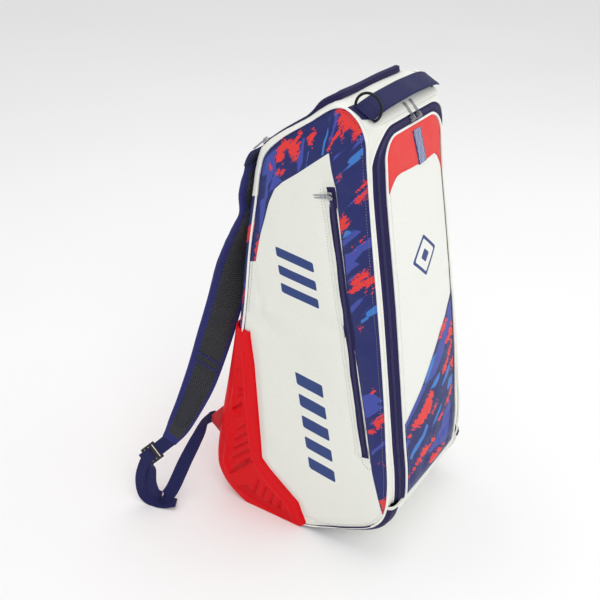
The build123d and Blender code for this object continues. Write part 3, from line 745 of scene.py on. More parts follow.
def zip_coil(name, path, normal, width, height, body="bag"):
    """Low ridge with two rows of teeth, standing height above the tape along normal."""
    pitch = 2.2
    path = resample(path, max(int(length(path) / 4.0), 4))
    if np.ndim(normal) > 1:
        normal = resample_dirs(normal, len(path))
    tangent = unit(np.gradient(path, axis=0))
    across = unit(np.cross(tangent, normal))
    up = unit(np.cross(across, tangent))
    x = width * np.array([-0.5, -0.36, -0.18, 0, 0.18, 0.36, 0.5])
    h = np.array([0.0, 0.8, 1.0, 0.55, 1.0, 0.8, 0.0]) * height
    line = path[:, None] + across[:, None] * x[:, None]
    slab(name, line + up[:, None] * h[:, None], line - up[:, None] * 0.6, "coil", body=body)

    run = run_length(path)
    where = (np.arange(int(length(path) / pitch)) + 0.5) * pitch
    centre = along(path, run, where)
    tangent = unit(along(tangent, run, where))
    across = unit(along(across, run, where))
    up = unit(np.cross(across, tangent))
    corners = []
    for side in (-1, 1):
        root = (centre + across * (side * width * 0.27) + up * (height * 0.92)
                + tangent * (side * pitch * 0.25))
        for a, b, c in ((-1, -1, 0), (1, -1, 0), (1, 1, 0), (-1, 1, 0),
                        (-0.6, -0.7, 1), (0.6, -0.7, 1), (0.6, 0.7, 1), (-0.6, 0.7, 1)):
            corners.append(root + across * (a * width * 0.2) + tangent * (b * pitch * 0.27)
                           + up * (c * 0.55 - 0.15))
    verts = np.stack(corners, 1).reshape(-1, 3)
    tooth = np.array([(4, 5, 6, 7), (0, 1, 5, 4), (1, 2, 6, 5), (2, 3, 7, 6), (3, 0, 4, 7)])
    faces = (np.arange(len(verts) // 8) * 8)[:, None, None] + tooth
    build(name + "_teeth", verts, faces.reshape(-1, 4), "coil", body=body, sharp=30)


# ---------------------------------------------------------------- the bag's skin
# Columns: side rail y, z; middle rail y, z; bevel width. The loop starts under the front,
# runs up the front, over the top, down the back and along the bottom.
PROFILE = np.array([
    (-60, 4.6, -60, 4.6, 16), (-120, 28, -122, 22, 18), (-160, 46, -164, 39, 20),
    (-197, 67, -204, 59, 22), (-215, 89, -225, 80, 24), (-223, 118, -235, 112, 26),
    (-223, 166, -236, 166, 26), (-216.5, 223, -230, 225, 26), (-207, 306, -221, 308, 26),
    (-196.5, 384, -211, 387, 26), (-181.6, 483, -197, 486, 26), (-170.5, 553, -186, 556, 26),
    (-157, 643, -172, 646, 26), (-150, 693, -166.5, 696, 26), (-145, 729, -160, 737, 24),
    (-133, 752, -146, 752.5, 20), (-112, 766, -115, 768, 18), (-94, 764, -86, 769, 18),
    (-53, 736.5, -44, 741, 18), (-3, 702, 9, 705, 18), (23, 675, 38, 679, 18),
    (31.5, 648, 49, 651, 20), (38, 598, 57, 600, 20), (50, 510, 69, 511, 20),
    (58, 419, 77, 420, 20), (66, 352, 84, 353, 18), (75, 296, 92, 297, 16),
    (86, 241, 101, 242, 15), (96, 195, 109, 195, 14), (107, 134, 119, 133, 14),
    (114, 85, 124, 83, 14), (113, 60, 121, 54, 14), (100, 35, 105, 28, 14),
    (80, 18, 83, 11, 14), (55, 4.6, 55, 4.6, 14)], float)
BOTTOM_Z = 4.6
SIDE_SLOPE = math.radians(2.5)         # the sides lean in towards the top
SIDE_OUT = np.array([-math.cos(SIDE_SLOPE), 0, math.sin(SIDE_SLOPE)])


def half_width(z):
    return 126.0 + (400.0 - z) * math.tan(SIDE_SLOPE)


def profile(i):
    """Smooth reading of PROFILE at real row i."""
    i = np.asarray(i, float)
    k = np.floor(i).astype(int)
    points = [PROFILE[(k + d) % len(PROFILE)] for d in (-1, 0, 1, 2)]
    steps = [np.maximum(np.hypot(a[..., 0] - b[..., 0], a[..., 1] - b[..., 1]),
                        1e-6)[..., None] ** 0.5 for a, b in zip(points, points[1:])]
    row = catmull_rom(points, steps, (i - k)[..., None])
    row[..., [1, 3]] = np.maximum(row[..., [1, 3]], BOTTOM_Z)
    return row


def profile_normal(i):
    d = profile(np.asarray(i) + 0.03) - profile(np.asarray(i) - 0.03)
    dy, dz = d[..., 2], d[..., 3]
    size = np.maximum(np.hypot(dy, dz), 1e-9)
    return xyz(0.0, -dz / size, dy / size)


def rails(i, off=0.0):
    """Near side rail, near middle rail and normal at i, moved outwards by off."""
    row = profile(i)
    normal = profile_normal(i)
    off = np.broadcast_to(np.asarray(off, float), row.shape[:-1])[..., None]
    y0, z0, y1, z1, bevel = np.moveaxis(row, -1, 0)
    return (xyz(-half_width(z0), y0, z0) + off * (0.8 * OUT + 0.8 * normal),
            xyz(-(half_width(z1) - bevel), y1, z1) + off * normal, normal)


def skin(i, f, off=0.0, crown=0.0):
    """Grid on the skin, rows at i and columns at f, lifted by off.

    f is 0..1 over the near bevel, 1..2 over the middle, 2..3 over the far bevel.
    """
    off = np.broadcast_to(np.asarray(off, float), (len(i), len(f)))
    grid = np.zeros((len(i), len(f), 3))
    for j, fj in enumerate(f):
        far = fj > 1.5
        g = 3 - fj if far else fj
        a, b, normal = rails(i, off[:, j])
        if g <= 1.0:
            width = np.abs(b[:, :1] - a[:, :1])
            depth = np.maximum(((b - a) * normal).sum(1, keepdims=True), 0)
            c1 = a + normal * depth * 0.62 - OUT * width * 0.06
            c2 = b + OUT * width * 0.52
            p = ((1 - g) ** 3 * a + 3 * (1 - g) ** 2 * g * c1
                 + 3 * (1 - g) * g ** 2 * c2 + g ** 3 * b)
        else:
            q = 2 * (g - 1.0)
            p = b - b * (1, 0, 0) * q + normal * crown * (1 - (1 - np.clip(q, 0, 1)) ** 2)
        grid[:, j] = p * FLIP if far else p
    return grid


def skin_line(i, f, off):
    return skin(i, [f], off)[:, 0]


ACROSS = np.concatenate([np.linspace(0, 1, 9), np.linspace(1, 2, 25)[1:],
                         np.linspace(2, 3, 9)[1:]])


def seam_drop(grid, sides):
    """How far points drop near the grid's rims; sides: i, I first/last row, j, J column."""
    u, v = grid_runs(grid)
    edge = np.full(grid.shape[:2], 1e3)
    for side, distance in (("i", v), ("I", v[-1:] - v), ("j", u), ("J", u[:, -1:] - u)):
        if side in sides:
            edge = np.minimum(edge, distance)
    return 1.1 * hill(edge, 2.2, 1.4)


def wrap(name, i0, i1, rows, f, mats, seed, lift=0.0, crown=0.0, wrinkle=0.5, flip=1.0,
         drop="ijIJ", attrs=None, inner_lift=None, **options):
    """Piece lying on the skin; lift is a number or a function of i and f. Returns its face."""
    i = np.linspace(i0, i1, rows)
    base = skin(i, f)
    height = lift(i, f) if callable(lift) else lift
    height = height + wrinkles(base, 110, seed) * wrinkle - seam_drop(base, drop)
    if inner_lift is None:
        inner_lift = np.minimum(height, height.mean()) - 3.0
    outer = skin(i, f, height, crown)
    slab(name, outer * flip, skin(i, f, inner_lift) * flip, mats,
         attrs=attrs(outer) if attrs else None, **options)
    return outer * flip


# dense profile, split at the top into lines of y against z
_i = np.linspace(0, len(PROFILE), 1800, endpoint=False)
_rows = profile(_i)
_top = np.argmax(np.where((_i > 15) & (_i < 18), _rows[:, 1], -1))
SIDE_LOOP = _rows[:, :2]
FRONT_Z = np.maximum.accumulate(_rows[:_top + 1, 1])
FRONT_Y = _rows[:_top + 1, 0]
BACK_Z = np.maximum.accumulate(_rows[_top:, 1][::-1])
BACK_Y = _rows[_top:, 0][::-1]
_mid = (_i > 3.6) & (_i < 15.2)
MID_Z = np.maximum.accumulate(_rows[_mid, 3])
MID_Y = _rows[_mid, 2]


def side_front(z):
    return np.interp(z, FRONT_Z, FRONT_Y)


def side_back(z):
    return np.interp(z, BACK_Z, BACK_Y)


def front_y(z):
    return np.interp(z, MID_Z, MID_Y)


# ---------------------------------------------------------------- measured outlines
def outline(text):
    """Points from text such as '1,2 3,4'."""
    return [tuple(map(float, point.split(","))) for point in text.split()]


def outlines(text):
    """Several outlines, parted by semicolons."""
    return [outline(part) for part in text.split(";")]


# side print, (y, z): inner edge of the trim, the whole trim, then its coloured strokes
TRIM_EDGE = outline("""38.2,495.5 29.5,541.2 22.4,568.5 11.6,603.2 0.9,626.5 -13.6,640.9
-39.4,659.8 -91.8,701.3 -102.1,653.0 -130.7,485.7 -141.4,430.0 -165.0,327.0 -188.3,212.3
-218.3,101.9""")
TRIM = TRIM_EDGE + outline("""-250.2,116.6 -198.0,738.2 -119.6,800.3 -36.1,773.2 69.8,703.2
61.6,486.7""")
SIDE_MID = outlines("""
-101.8,760.7 -97.7,740.5 -89.0,706.1 -90.6,727.1 -94.7,749.0 -92.9,759.1;
-97.7,688.4 -100.7,698.4 -112.3,708.4 -120.4,716.8 -106.7,699.6;
-142.5,739.7 -132.7,722.9 -125.9,710.2 -138.6,722.6 -143.3,727.9;
-45.9,715.8 -49.1,713.3 -48.0,678.4 -43.0,663.7 -39.7,663.0 -42.3,686.8;
-38.6,686.1 -42.1,693.1 -44.1,674.4 -39.4,660.5;
-139.0,594.1 -152.4,595.9 -139.7,583.0 -119.1,561.0 -117.8,569.9 -133.1,585.9;
-164.9,589.5 -166.5,572.7 -153.7,564.0 -140.2,543.3 -152.9,546.3 -138.0,530.6 -128.1,516.8
-124.5,551.7 -136.3,559.4 -145.2,570.9 -155.8,579.7;
-128.8,505.1 -138.6,519.8 -153.1,534.8 -143.6,519.6 -131.3,503.5;
-136.8,465.7 -152.2,485.7 -164.6,495.0 -149.8,470.5 -139.9,455.2;
-177.2,489.2 -169.3,474.8 -160.5,458.3 -161.4,464.3 -170.5,480.0;
-153.6,660.0 -136.9,642.7 -117.6,620.0 -126.0,626.8 -137.9,639.3 -155.0,651.1;
-168.5,319.7 -184.7,331.2 -203.7,321.4 -191.8,311.4 -207.1,310.9 -183.3,285.3 -177.9,278.8
-171.8,301.5;
-179.8,268.5 -191.9,281.5 -207.0,304.4 -206.7,297.4 -190.4,273.4;
-191.5,221.7 -212.8,250.3 -214.9,244.0 -200.0,226.0 -193.9,213.6;
-4.9,694.4 22.2,669.9 26.5,655.4 28.4,637.9 17.0,645.4 21.7,600.9 13.7,609.7 13.9,627.1
6.1,644.3 -1.5,662.9 3.6,675.3;
31.8,598.5 19.7,608.4 12.8,623.9 21.6,586.7 30.5,540.0 32.7,562.4;
-1.5,661.2 4.1,644.7 11.8,618.9 0.9,628.3 -13.6,643.4 -5.7,646.8""")
SIDE_BRIGHT = outlines("""
-101.1,654.4 -110.7,672.3 -108.2,671.0 -126.9,692.1 -121.0,691.6 -124.8,699.3 -143.1,718.1
-143.8,706.9 -138.2,703.5 -141.6,702.7 -134.4,695.1 -112.4,674.3 -102.0,654.9;
-88.7,760.6 -85.0,735.2 -85.8,726.3 -82.4,695.5 -79.4,694.2 -81.5,716.3 -83.7,733.5;
-58.2,697.8 -54.8,672.6 -52.6,672.1 -54.3,679.7 -56.8,697.5;
-118.4,575.3 -124.1,589.6 -139.0,594.5 -133.0,587.4 -119.5,574.6;
-100.4,651.9 -109.4,663.2 -105.6,657.1 -102.0,652.6;
-153.7,440.6 -159.4,450.6 -156.9,450.7 -167.7,461.4 -165.4,466.4 -181.5,484.2 -183.8,470.5
-170.2,460.3 -172.3,459.3;
-199.7,179.4 -217.9,205.7 -202.9,185.3;
-201.0,203.6 -216.2,217.1 -207.7,207.4""")
SIDE_RED = outlines("""
-99.4,764.4 -112.5,767.6 -106.6,751.1 -99.1,730.2 -92.5,704.2 -88.6,706.5 -96.0,722.1
-101.1,741.2 -101.6,756.2;
-105.8,765.5 -117.6,766.3 -126.4,759.0 -135.4,747.3 -141.0,737.9 -134.5,735.3 -130.0,726.2
-124.9,727.5 -126.9,735.4 -120.0,739.3 -114.4,733.0 -108.1,739.4 -101.2,723.0 -97.1,719.2
-103.2,750.5;
-58.7,735.8 -63.9,723.8 -61.9,705.6 -55.1,711.3 -54.0,717.3 -57.7,722.6;
-37.4,728.2 -40.4,717.9 -40.7,708.6 -38.2,701.8;
-107.2,666.5 -112.5,673.0 -113.6,670.6 -109.4,664.9;
-135.5,650.1 -152.2,669.5 -153.2,666.6 -139.9,648.3;
-107.7,730.3 -111.8,732.6 -110.6,724.0 -107.8,722.4;
-150.7,669.3 -135.4,648.1 -137.4,646.9 -151.5,664.2;
-154.3,660.2 -135.6,637.4 -139.8,632.5 -147.1,640.4 -156.0,651.3;
-123.3,618.0 -118.4,613.9 -108.8,603.1 -113.2,580.1 -120.8,590.0 -129.3,602.9 -128.2,610.0
-124.5,610.6;
-155.7,585.6 -148.8,577.9 -151.3,576.2 -154.9,581.7;
-139.6,571.0 -132.9,561.3 -136.1,562.1 -140.9,568.3;
-171.1,552.7 -154.0,533.5 -136.7,510.6 -146.2,502.2 -159.6,522.6 -165.8,525.9 -174.2,530.6
-175.7,525.6 -166.8,510.6 -162.9,496.8 -160.4,497.7 -162.1,509.2 -148.0,500.4 -145.2,492.9
-129.5,491.8 -143.1,500.5 -158.4,516.0;
-175.7,521.0 -177.8,509.1 -172.3,501.2 -168.8,504.9 -174.8,511.3;
-154.3,439.1 -160.3,441.4 -156.3,434.0;
-187.6,336.5 -184.5,327.5 -189.8,334.1;
-207.4,299.8 -191.0,278.9 -192.7,269.9 -203.1,269.7 -210.6,283.8;
-182.5,257.3 -199.6,266.6 -194.0,257.2 -185.4,254.7;
-207.7,201.9 -213.3,208.3 -212.3,201.7;
-224.7,149.5 -224.0,139.6 -212.0,128.0 -218.3,101.9 -224.8,120.8 -226.9,138.6;
-4.7,703.4 -38.7,709.8 -39.5,681.4 -34.1,673.7 -31.0,680.5 -28.3,675.0 -24.2,687.4
-17.4,691.0 -15.0,668.7 -1.0,669.2 1.0,675.8 -3.0,691.5;
-2.6,652.6 -5.5,657.8 -14.7,664.2 -13.7,655.0 -7.6,652.0;
12.8,658.2 10.3,663.3 5.7,656.0 9.2,653.9;
36.2,538.1 29.5,540.7 35.2,496.3 40.3,494.9 38.8,516.5""")

# lid print, (x, z): upper edge of the printed area, then its coloured strokes
LID_PRINT_TOP = outline("-109.3,248.6 -42.5,299.1 38.3,370.8 60.5,386.3 85.8,412.5")
LID_MID = outlines("""
30.2,348.0 59.1,372.5 84.4,403.5 91.0,400.5 87.8,363.2 61.0,343.5 40.9,320.9 8.0,300.9
-26.4,300.1 -2.4,326.0;
-34.3,304.5 -22.4,297.9 -67.6,267.0 -98.5,246.3 -111.6,237.0 -109.8,251.1 -79.2,271.7;
38.9,204.1 68.5,219.7 72.2,208.2 59.2,168.3 40.8,148.3 -7.1,154.6 -19.7,162.7 3.7,171.5
27.9,184.9;
-115.3,208.4 -106.1,218.0 -84.5,228.8 -77.1,222.0 -99.1,209.1 -114.2,185.3 -119.8,173.6""")
LID_BRIGHT = outlines("""
-30.4,302.3 -15.3,324.3 3.0,336.1 25.0,339.9 11.2,331.9 1.3,319.8 -17.3,305.9;
-11.2,282.9 11.5,292.4 29.7,298.1 23.8,283.5 10.0,277.7;
-15.0,206.3 -0.7,216.1 23.0,229.6 34.9,234.3 26.9,222.8 7.9,213.2;
-87.2,190.1 -67.8,202.6 -42.6,211.8 -27.0,225.0 -20.3,218.7 -37.1,203.8 -55.2,194.7
-79.4,186.2;
56.6,245.0 67.2,259.8 86.2,261.0 82.5,244.5 65.5,240.0;
32.0,265.6 48.0,277.0 67.5,289.2 73.9,282.4 56.6,270.1 36.4,264.2""")
LID_RED = outlines("""
-7.2,280.6 5.3,274.8 -11.2,242.7 -31.5,234.5 -49.1,229.4 -68.9,239.2 -72.0,247.7
-45.8,258.6 -23.1,272.0;
-84.1,231.9 -75.4,236.5 -69.7,231.9 -78.4,228.4;
9.6,207.6 23.5,210.9 49.8,221.1 69.8,235.3 82.3,242.3 81.1,228.9 63.8,220.1 44.6,214.8
32.4,208.0 22.7,203.2;
-39.2,184.5 -22.4,178.5 5.5,189.2 3.9,173.7 -19.2,167.1 -41.9,160.6 -62.9,165.1
-85.3,154.4 -86.9,157.9 -66.6,169.8 -48.7,176.7;
-22.2,138.3 -8.0,145.7 19.6,147.2 40.6,146.0 34.8,135.1 13.3,129.6 -9.4,132.3;
53.9,340.5 70.2,345.5 85.6,364.2 93.2,356.2 90.1,335.7 76.3,335.9 59.8,331.0;
38.4,295.6 57.3,303.5 72.7,322.2 84.9,329.4 83.5,312.3 70.9,300.9 51.2,286.6 37.4,285.0;
75.9,278.0 77.0,291.0 91.6,296.9 89.2,268.5;
27.0,359.3 43.6,372.5 62.2,381.8 70.7,375.6 56.1,364.3 37.6,356.2;
-10.1,231.9 -0.2,243.1 11.4,247.8 18.8,241.2 3.1,232.1""")
# lower edge of the lid's red patch, (x, z)
PATCH_LOW = np.array(outline("""-88.5,639.5 -78.9,650.4 -70.1,658.5 -61.4,664.4 -48.3,665.7
-11.5,663.7 30.4,662.2 60.0,662.5 71.0,655.5 80.0,642.0 86.5,622.0 96.0,596.0"""))

# boot relief, (y, z): its front edge, raised ridges and sunk shapes
BOOT_EDGE = outline("""52.4,361.7 51.5,352.9 43.2,300.9 36.0,225.0 31.0,170.7 26.0,113.3
10.8,97.8 -18.5,75.2 -53.4,49.5 -59.5,34.2 -69.4,10.0""")
LONG_RIDGE = outline("""65.6,319.6 63.5,293.8 58.9,232.8 54.8,178.2 50.5,139.5 44.6,115.6
35.7,92.7 16.4,74.3 -7.2,55.0 -36.6,33.8 -50.4,2.1""")
UPPER_RIDGE = outline("68.7,287.9 78.7,283.0 83.4,254.1 86.7,222.3 90.0,194.2")
LOWER_RIDGE = outline("""69.4,189.5 90.3,171.2 96.6,149.7 103.4,102.4 107.0,73.6 104.1,59.5
95.0,46.5""")
BOOT_FACET = outline("""81.3,27.9 55.1,43.0 28.0,29.3 -36.9,23.2 -46.0,3.0 -25.7,2.3
21.9,10.4 64.4,21.6""")
BOOT_WEDGES = outlines("""67.7,218.4 87.0,196.8 88.5,191.9 69.2,206.5;
50.5,104.1 82.3,72.1 98.0,48.3 88.7,54.0 50.5,90.7""")
BOOT_GROOVES = outlines("""62.1,169.5 78.5,154.7; 59.3,153.3 83.3,130.2;
57.0,135.4 85.0,110.2; 53.4,119.2 88.3,87.8; 28.7,64.2 38.5,33.7; 13.3,54.6 20.5,29.7;
-3.0,46.9 4.1,23.6; -19.1,39.2 -15.1,20.4; 69.1,231.8 76.4,226.2; 69.0,242.9 73.4,239.9""")


# ---------------------------------------------------------------- cloth
def puff(grid, pressure, cap, seed):
    """How far a sheet pinned round its rim moves under pressure, at most cap (mm)."""
    n, m = grid.shape[:2]
    mesh = bpy.data.meshes.new("sheet")
    verts = grid.reshape(-1, 3) * MM
    rng = np.random.RandomState(seed)
    verts = verts + rng.normal(size=verts.shape) * 0.00015
    mesh.from_pydata(verts.tolist(), [], grid_faces(n, m).tolist())
    mesh.update()
    sheet = bpy.data.objects.new("sheet", mesh)
    scene = bpy.context.scene
    scene.collection.objects.link(sheet)
    rim = np.ones((n, m), bool)
    rim[1:-1, 1:-1] = False
    pinned = [int(k) for k in np.nonzero(rim.ravel())[0]]
    sheet.vertex_groups.new(name="pin").add(pinned, 1.0, "REPLACE")
    cloth = sheet.modifiers.new("cloth", "CLOTH")
    settings = cloth.settings
    settings.quality = 5
    settings.mass = 0.25
    settings.tension_stiffness = 25
    settings.compression_stiffness = 25
    settings.shear_stiffness = 8
    settings.bending_stiffness = 5.0
    settings.air_damping = 4
    settings.use_pressure = True
    settings.uniform_pressure_force = pressure
    settings.shrink_min = -0.03
    settings.shrink_max = -0.005
    settings.vertex_group_mass = "pin"
    settings.effector_weights.gravity = 0.0
    cloth.collision_settings.use_collision = False
    cloth.point_cache.frame_start = 1
    cloth.point_cache.frame_end = 20
    for number in range(1, 21):
        scene.frame_set(number)
    settled = sheet.evaluated_get(bpy.context.evaluated_depsgraph_get())
    result = settled.to_mesh()
    co = np.zeros(len(result.vertices) * 3, np.float32)
    result.vertices.foreach_get("co", co)
    settled.to_mesh_clear()
    moved = np.nan_to_num(co.reshape(n, m, 3) * 1000.0 - grid)
    bpy.data.objects.remove(sheet, do_unlink=True)
    bpy.data.meshes.remove(mesh)
    scene.frame_set(1)
    size = np.linalg.norm(moved, axis=2, keepdims=True)
    return moved * np.minimum(1.0, cap / np.maximum(size, 1e-6))


def enlarge(grid, rows, cols):
    """Resample a coarse (a, b, c) grid to (rows, cols, c), eased between its points."""
    y = np.linspace(0, grid.shape[0] - 1, rows)
    x = np.linspace(0, grid.shape[1] - 1, cols)
    y0 = np.clip(np.floor(y).astype(int), 0, grid.shape[0] - 2)
    x0 = np.clip(np.floor(x).astype(int), 0, grid.shape[1] - 2)
    fy = smoothstep(y - y0)[:, None, None]
    fx = smoothstep(x - x0)[None, :, None]
    return ((1 - fy) * (1 - fx) * grid[y0][:, x0] + (1 - fy) * fx * grid[y0][:, x0 + 1]
            + fy * (1 - fx) * grid[y0 + 1][:, x0] + fy * fx * grid[y0 + 1][:, x0 + 1])


# ---------------------------------------------------------------- side panels
# pocket zip on the near side, (y, z): top end, low end, and its own directions
ZIP_TOP, ZIP_LOW = np.array((-93.5, 643.8)), np.array((-178.7, 206.7))
ZIP_LENGTH = float(np.hypot(*(ZIP_LOW - ZIP_TOP)))
ZIP_DOWN = (ZIP_LOW - ZIP_TOP) / ZIP_LENGTH
ZIP_BACK = np.array([-ZIP_DOWN[1], ZIP_DOWN[0]])
# slanted bars: count, centre (y, z), pitch, first offset, half length, half height, skew
SIDE_BARS = ((5, (-89.0, 222.0), 40.0, -74.0, 25.0, 11.5, 9.0),
             (3, (-44.0, 492.0), 30.0, -30.0, 34.0, 8.0, 11.0))


def beside_zip(s, q=0.0):
    """(y, z) at s down the zip and q behind it."""
    return ZIP_TOP + np.asarray(s)[..., None] * ZIP_DOWN + np.asarray(q)[..., None] * ZIP_BACK


def side_bars():
    """Outlines of the slanted bars, set square to the zip's run."""
    bars = []
    for count, centre, pitch, first, half_length, half_height, skew in SIDE_BARS:
        w, h, lean = ZIP_BACK * half_length, -ZIP_DOWN * half_height, -ZIP_DOWN * skew
        for k in range(count):
            c = np.array(centre) - ZIP_DOWN * (k * pitch + first)
            bars.append([c - w - h - lean, c + w - h + lean, c + w + h + lean, c - w + h - lean])
    return bars


side_z = np.concatenate([np.linspace(4.8, 60, 30)[:-1], np.linspace(60, 640, 150)[:-1],
                         np.linspace(640, FRONT_Z[-1] - 0.5, 58)])
SIDE_COLS = 104
side_u = (1 - np.cos(np.linspace(0, np.pi, SIDE_COLS))) / 2
side_u = 0.55 * side_u + 0.45 * np.linspace(0, 1, SIDE_COLS)
_front = side_front(side_z)[:, None]
side_yz = xyz(_front + (side_back(side_z)[:, None] - _front) * side_u, side_z[:, None])
side_edge = np.maximum(-outline_dist(side_yz, SIDE_LOOP[::4]), 0)
zip_run = (side_yz - ZIP_TOP) @ ZIP_DOWN
zip_off = (side_yz - ZIP_TOP) @ ZIP_BACK
zip_over = np.maximum(np.maximum(-zip_run - 2, zip_run - ZIP_LENGTH - 2), 0)
zip_dist = np.hypot(zip_off, zip_over)
boot_area = BOOT_EDGE + outline("-60,-6 70,-6 110,20 130,70 125,150 100,260 70,380")
clear_of_boot = 1 / (1 + np.exp(-(outline_dist(side_yz, boot_area) - 9.0) / 4.0))

_coarse = side_yz[::8, ::6]
_coarse = xyz(-half_width(_coarse[..., 1]), _coarse[..., 0], _coarse[..., 1])
side_puff = -enlarge(puff(_coarse, pressure=3.0, cap=3.0, seed=4), len(side_z), SIDE_COLS)[..., 0]
side_puff = np.clip(side_puff, -2.0, 3.0) * ramp01(side_edge / 20)


def side_bulge(with_zip):
    """Outward bulge in mm over the whole side."""
    y, z = side_yz[..., 0], side_yz[..., 1]
    bulge = 5.0 * (1 - hill(side_edge, 30, 1.3)) - 1.0 * hill(side_edge, 1.6, 1.5)
    if with_zip:
        bulge = bulge * (1 - 0.55 * hill(zip_dist, 20.0)) - 1.7 * hill(zip_dist, 11.2, 10)
        bulge = bulge + 0.9 * hill(zip_off - 11.4, 1.5) * hill(zip_over, 3)
        # soft pull folds behind the zip
        folds = np.sin(zip_run / 13.0 + 0.6 * np.sin(zip_run / 41.0))
        bulge = bulge + 0.5 * folds * hill(zip_off - 16, 9) * hill(zip_over, 10)
    points = xyz(0.0, y, z)
    fade = ramp01(side_edge / 25)
    bulge = bulge + fade * (0.9 * wrinkles(points, 190, 11 if with_zip else 12)
                            + 0.35 * wrinkles(points * [1, 1, 0.8], 62, 13))
    low_patch = np.exp(-((y - 10) ** 2 + (z - 110) ** 2) / 60 ** 2)
    bulge = bulge + fade * 0.8 * np.sin((y * 0.9 - z) / 17.0) * low_patch
    bulge = np.where(bulge > 0, bulge * clear_of_boot, bulge) - 0.6 * (1 - clear_of_boot)
    near_zip = 0.7 * hill(zip_dist, 18.0) if with_zip else 0
    return bulge + side_puff * clear_of_boot * (1 - near_zip)


near_bulge = side_bulge(True)


def side_at(y, z, lift=0.0):
    """Point on the near side's soft surface."""
    front, back = side_front(z), side_back(z)
    u = ramp01((y - front) / np.maximum(back - front, 1e-6))
    bulge = sample(near_bulge, np.interp(z, side_z, np.arange(len(side_z))),
                   np.interp(u, side_u, np.arange(SIDE_COLS)))
    return xyz(-(half_width(z) + bulge + lift), y, z)


def side_line(yz, lift=0.0):
    return side_at(yz[..., 0], yz[..., 1], lift)


def side_grid(bulge):
    z = side_yz[..., 1]
    return xyz(-(half_width(z) + bulge), side_yz[..., 0], z)


side_trim = outline_dist(side_yz, TRIM)
# the strip beside the zip stays unprinted
zip_strip = np.maximum(np.maximum(-13.0 - zip_off, zip_off + 10.0),
                       np.maximum(-zip_run - 4, zip_run - ZIP_LENGTH - 10))
side_print = dict(sd_mid=outlines_dist(side_yz, SIDE_MID),
                  sd_bright=outlines_dist(side_yz, SIDE_BRIGHT),
                  sd_red=outlines_dist(side_yz, SIDE_RED),
                  sd_mark=outlines_dist(side_yz, side_bars()))


def near_side_stitches():
    """Thread down the trim's inner edge, behind the zip and round the zip's low end."""
    line = resample(np.array(TRIM_EDGE), 400)
    slope = np.gradient(line, axis=0)
    line = line + unit(np.stack([slope[:, 1], -slope[:, 0]], 1)) * 2.2
    stitch_row(side_line(line), SIDE_OUT, long=3.4, gap=2.4, r=0.55)
    line = beside_zip(np.linspace(-4, ZIP_LENGTH + 4, 220), 14.2)
    stitch_row(side_line(line), SIDE_OUT, "th_beige", long=3.0, gap=1.5, r=0.42)
    corner = np.array([(-171.5, 201.6), (-177.8, 192.2), (-185.6, 187.5), (-194.9, 187.6)])
    stitch_row(side_line(resample(corner, 20)), SIDE_OUT, long=2.6, gap=1.6, r=0.5)


for side, flip in SIDES:
    near = side == "near"
    slab("side_face_" + side, side_grid(near_bulge if near else side_bulge(False)) * flip,
         side_grid(-3.0) * flip, "side lining white",
         attrs=dict(sd_trim=np.minimum(side_trim, zip_strip if near else 60.0), **side_print),
         replaces="side_panel_" + side, slot="side_leather")
    if near:
        near_side_stitches()
    i = np.linspace(24.3, 0.4, 420)
    line = profile(i)[:, :2] - profile_normal(i)[:, 1:] * 6.0
    front = i < 15.0
    stitch_row(side_line(line[front]) * flip, SIDE_OUT * flip, "th_beige", long=3.0, gap=1.4)
    stitch_row(side_line(line[~front]) * flip, SIDE_OUT * flip, long=3.0, gap=1.6)

# pocket zip: tape set between the folded lips, coil on top
s, q = np.linspace(-5, ZIP_LENGTH + 5, 120)[:, None], np.linspace(-10.6, 10.0, 18)
yz = beside_zip(s, q)
rise = np.where(np.abs(q) > 9.6, -0.3, 0.35 + 0.25 * np.cos(q * 2.2))
width = half_width(yz[..., 1])
sunk = -width[:, 9:10] - side_line(yz[:, 9:10])[..., 0]
slab("pocket_tape", xyz(-(width + sunk + 0.2 + rise), yz[..., 0], yz[..., 1]),
     xyz(-(width + sunk - 1.6), yz[..., 0], yz[..., 1]), "tape",
     replaces="pocket_zip_tape", slot="navy_zip_tape")
s = np.linspace(3, ZIP_LENGTH - 3, 120)
sink = np.interp(s, [0, ZIP_LENGTH * 0.6, ZIP_LENGTH], [0, 0, 0.8])
zip_coil("pocket_coil", side_line(beside_zip(s), 0.5) - OUT * sink[:, None], SIDE_OUT,
         width=5.2, height=1.5)
line = beside_zip(np.linspace(-6, ZIP_LENGTH + 6, 160), 10.9)
sweep("pocket_lip_back", side_line(line, 0.15), SIDE_OUT, round_section(1.15, 8), "white")

# pocket bag hanging behind the panel; corners (y, z): top front, low front, low back, top back
corners = np.array([(-118, 640), (-185, 210), (-60, 170), (-20, 560)], float)
u, v = np.meshgrid(np.linspace(0, 1, 30), np.linspace(0, 1, 60))
yz = ((corners[0] * (1 - v[..., None]) + corners[1] * v[..., None]) * (1 - u[..., None])
      + (corners[3] * (1 - v[..., None]) + corners[2] * v[..., None]) * u[..., None])
y, z = yz[..., 0], yz[..., 1]
edge = np.minimum(np.minimum(u, 1 - u) * 90, np.minimum(v, 1 - v) * 400)
bulge = 2.2 * (1 - hill(edge, 12, 1.2)) + 0.8 * wrinkles(xyz(y, z, 0.0), 70, 5)
slab("pocket_lining_bag", xyz(-(half_width(z) - 6.5), y, z),
     xyz(-(half_width(z) - 8.5 - bulge), y, z), "lining",
     replaces="side_pocket_bag", slot="lining")

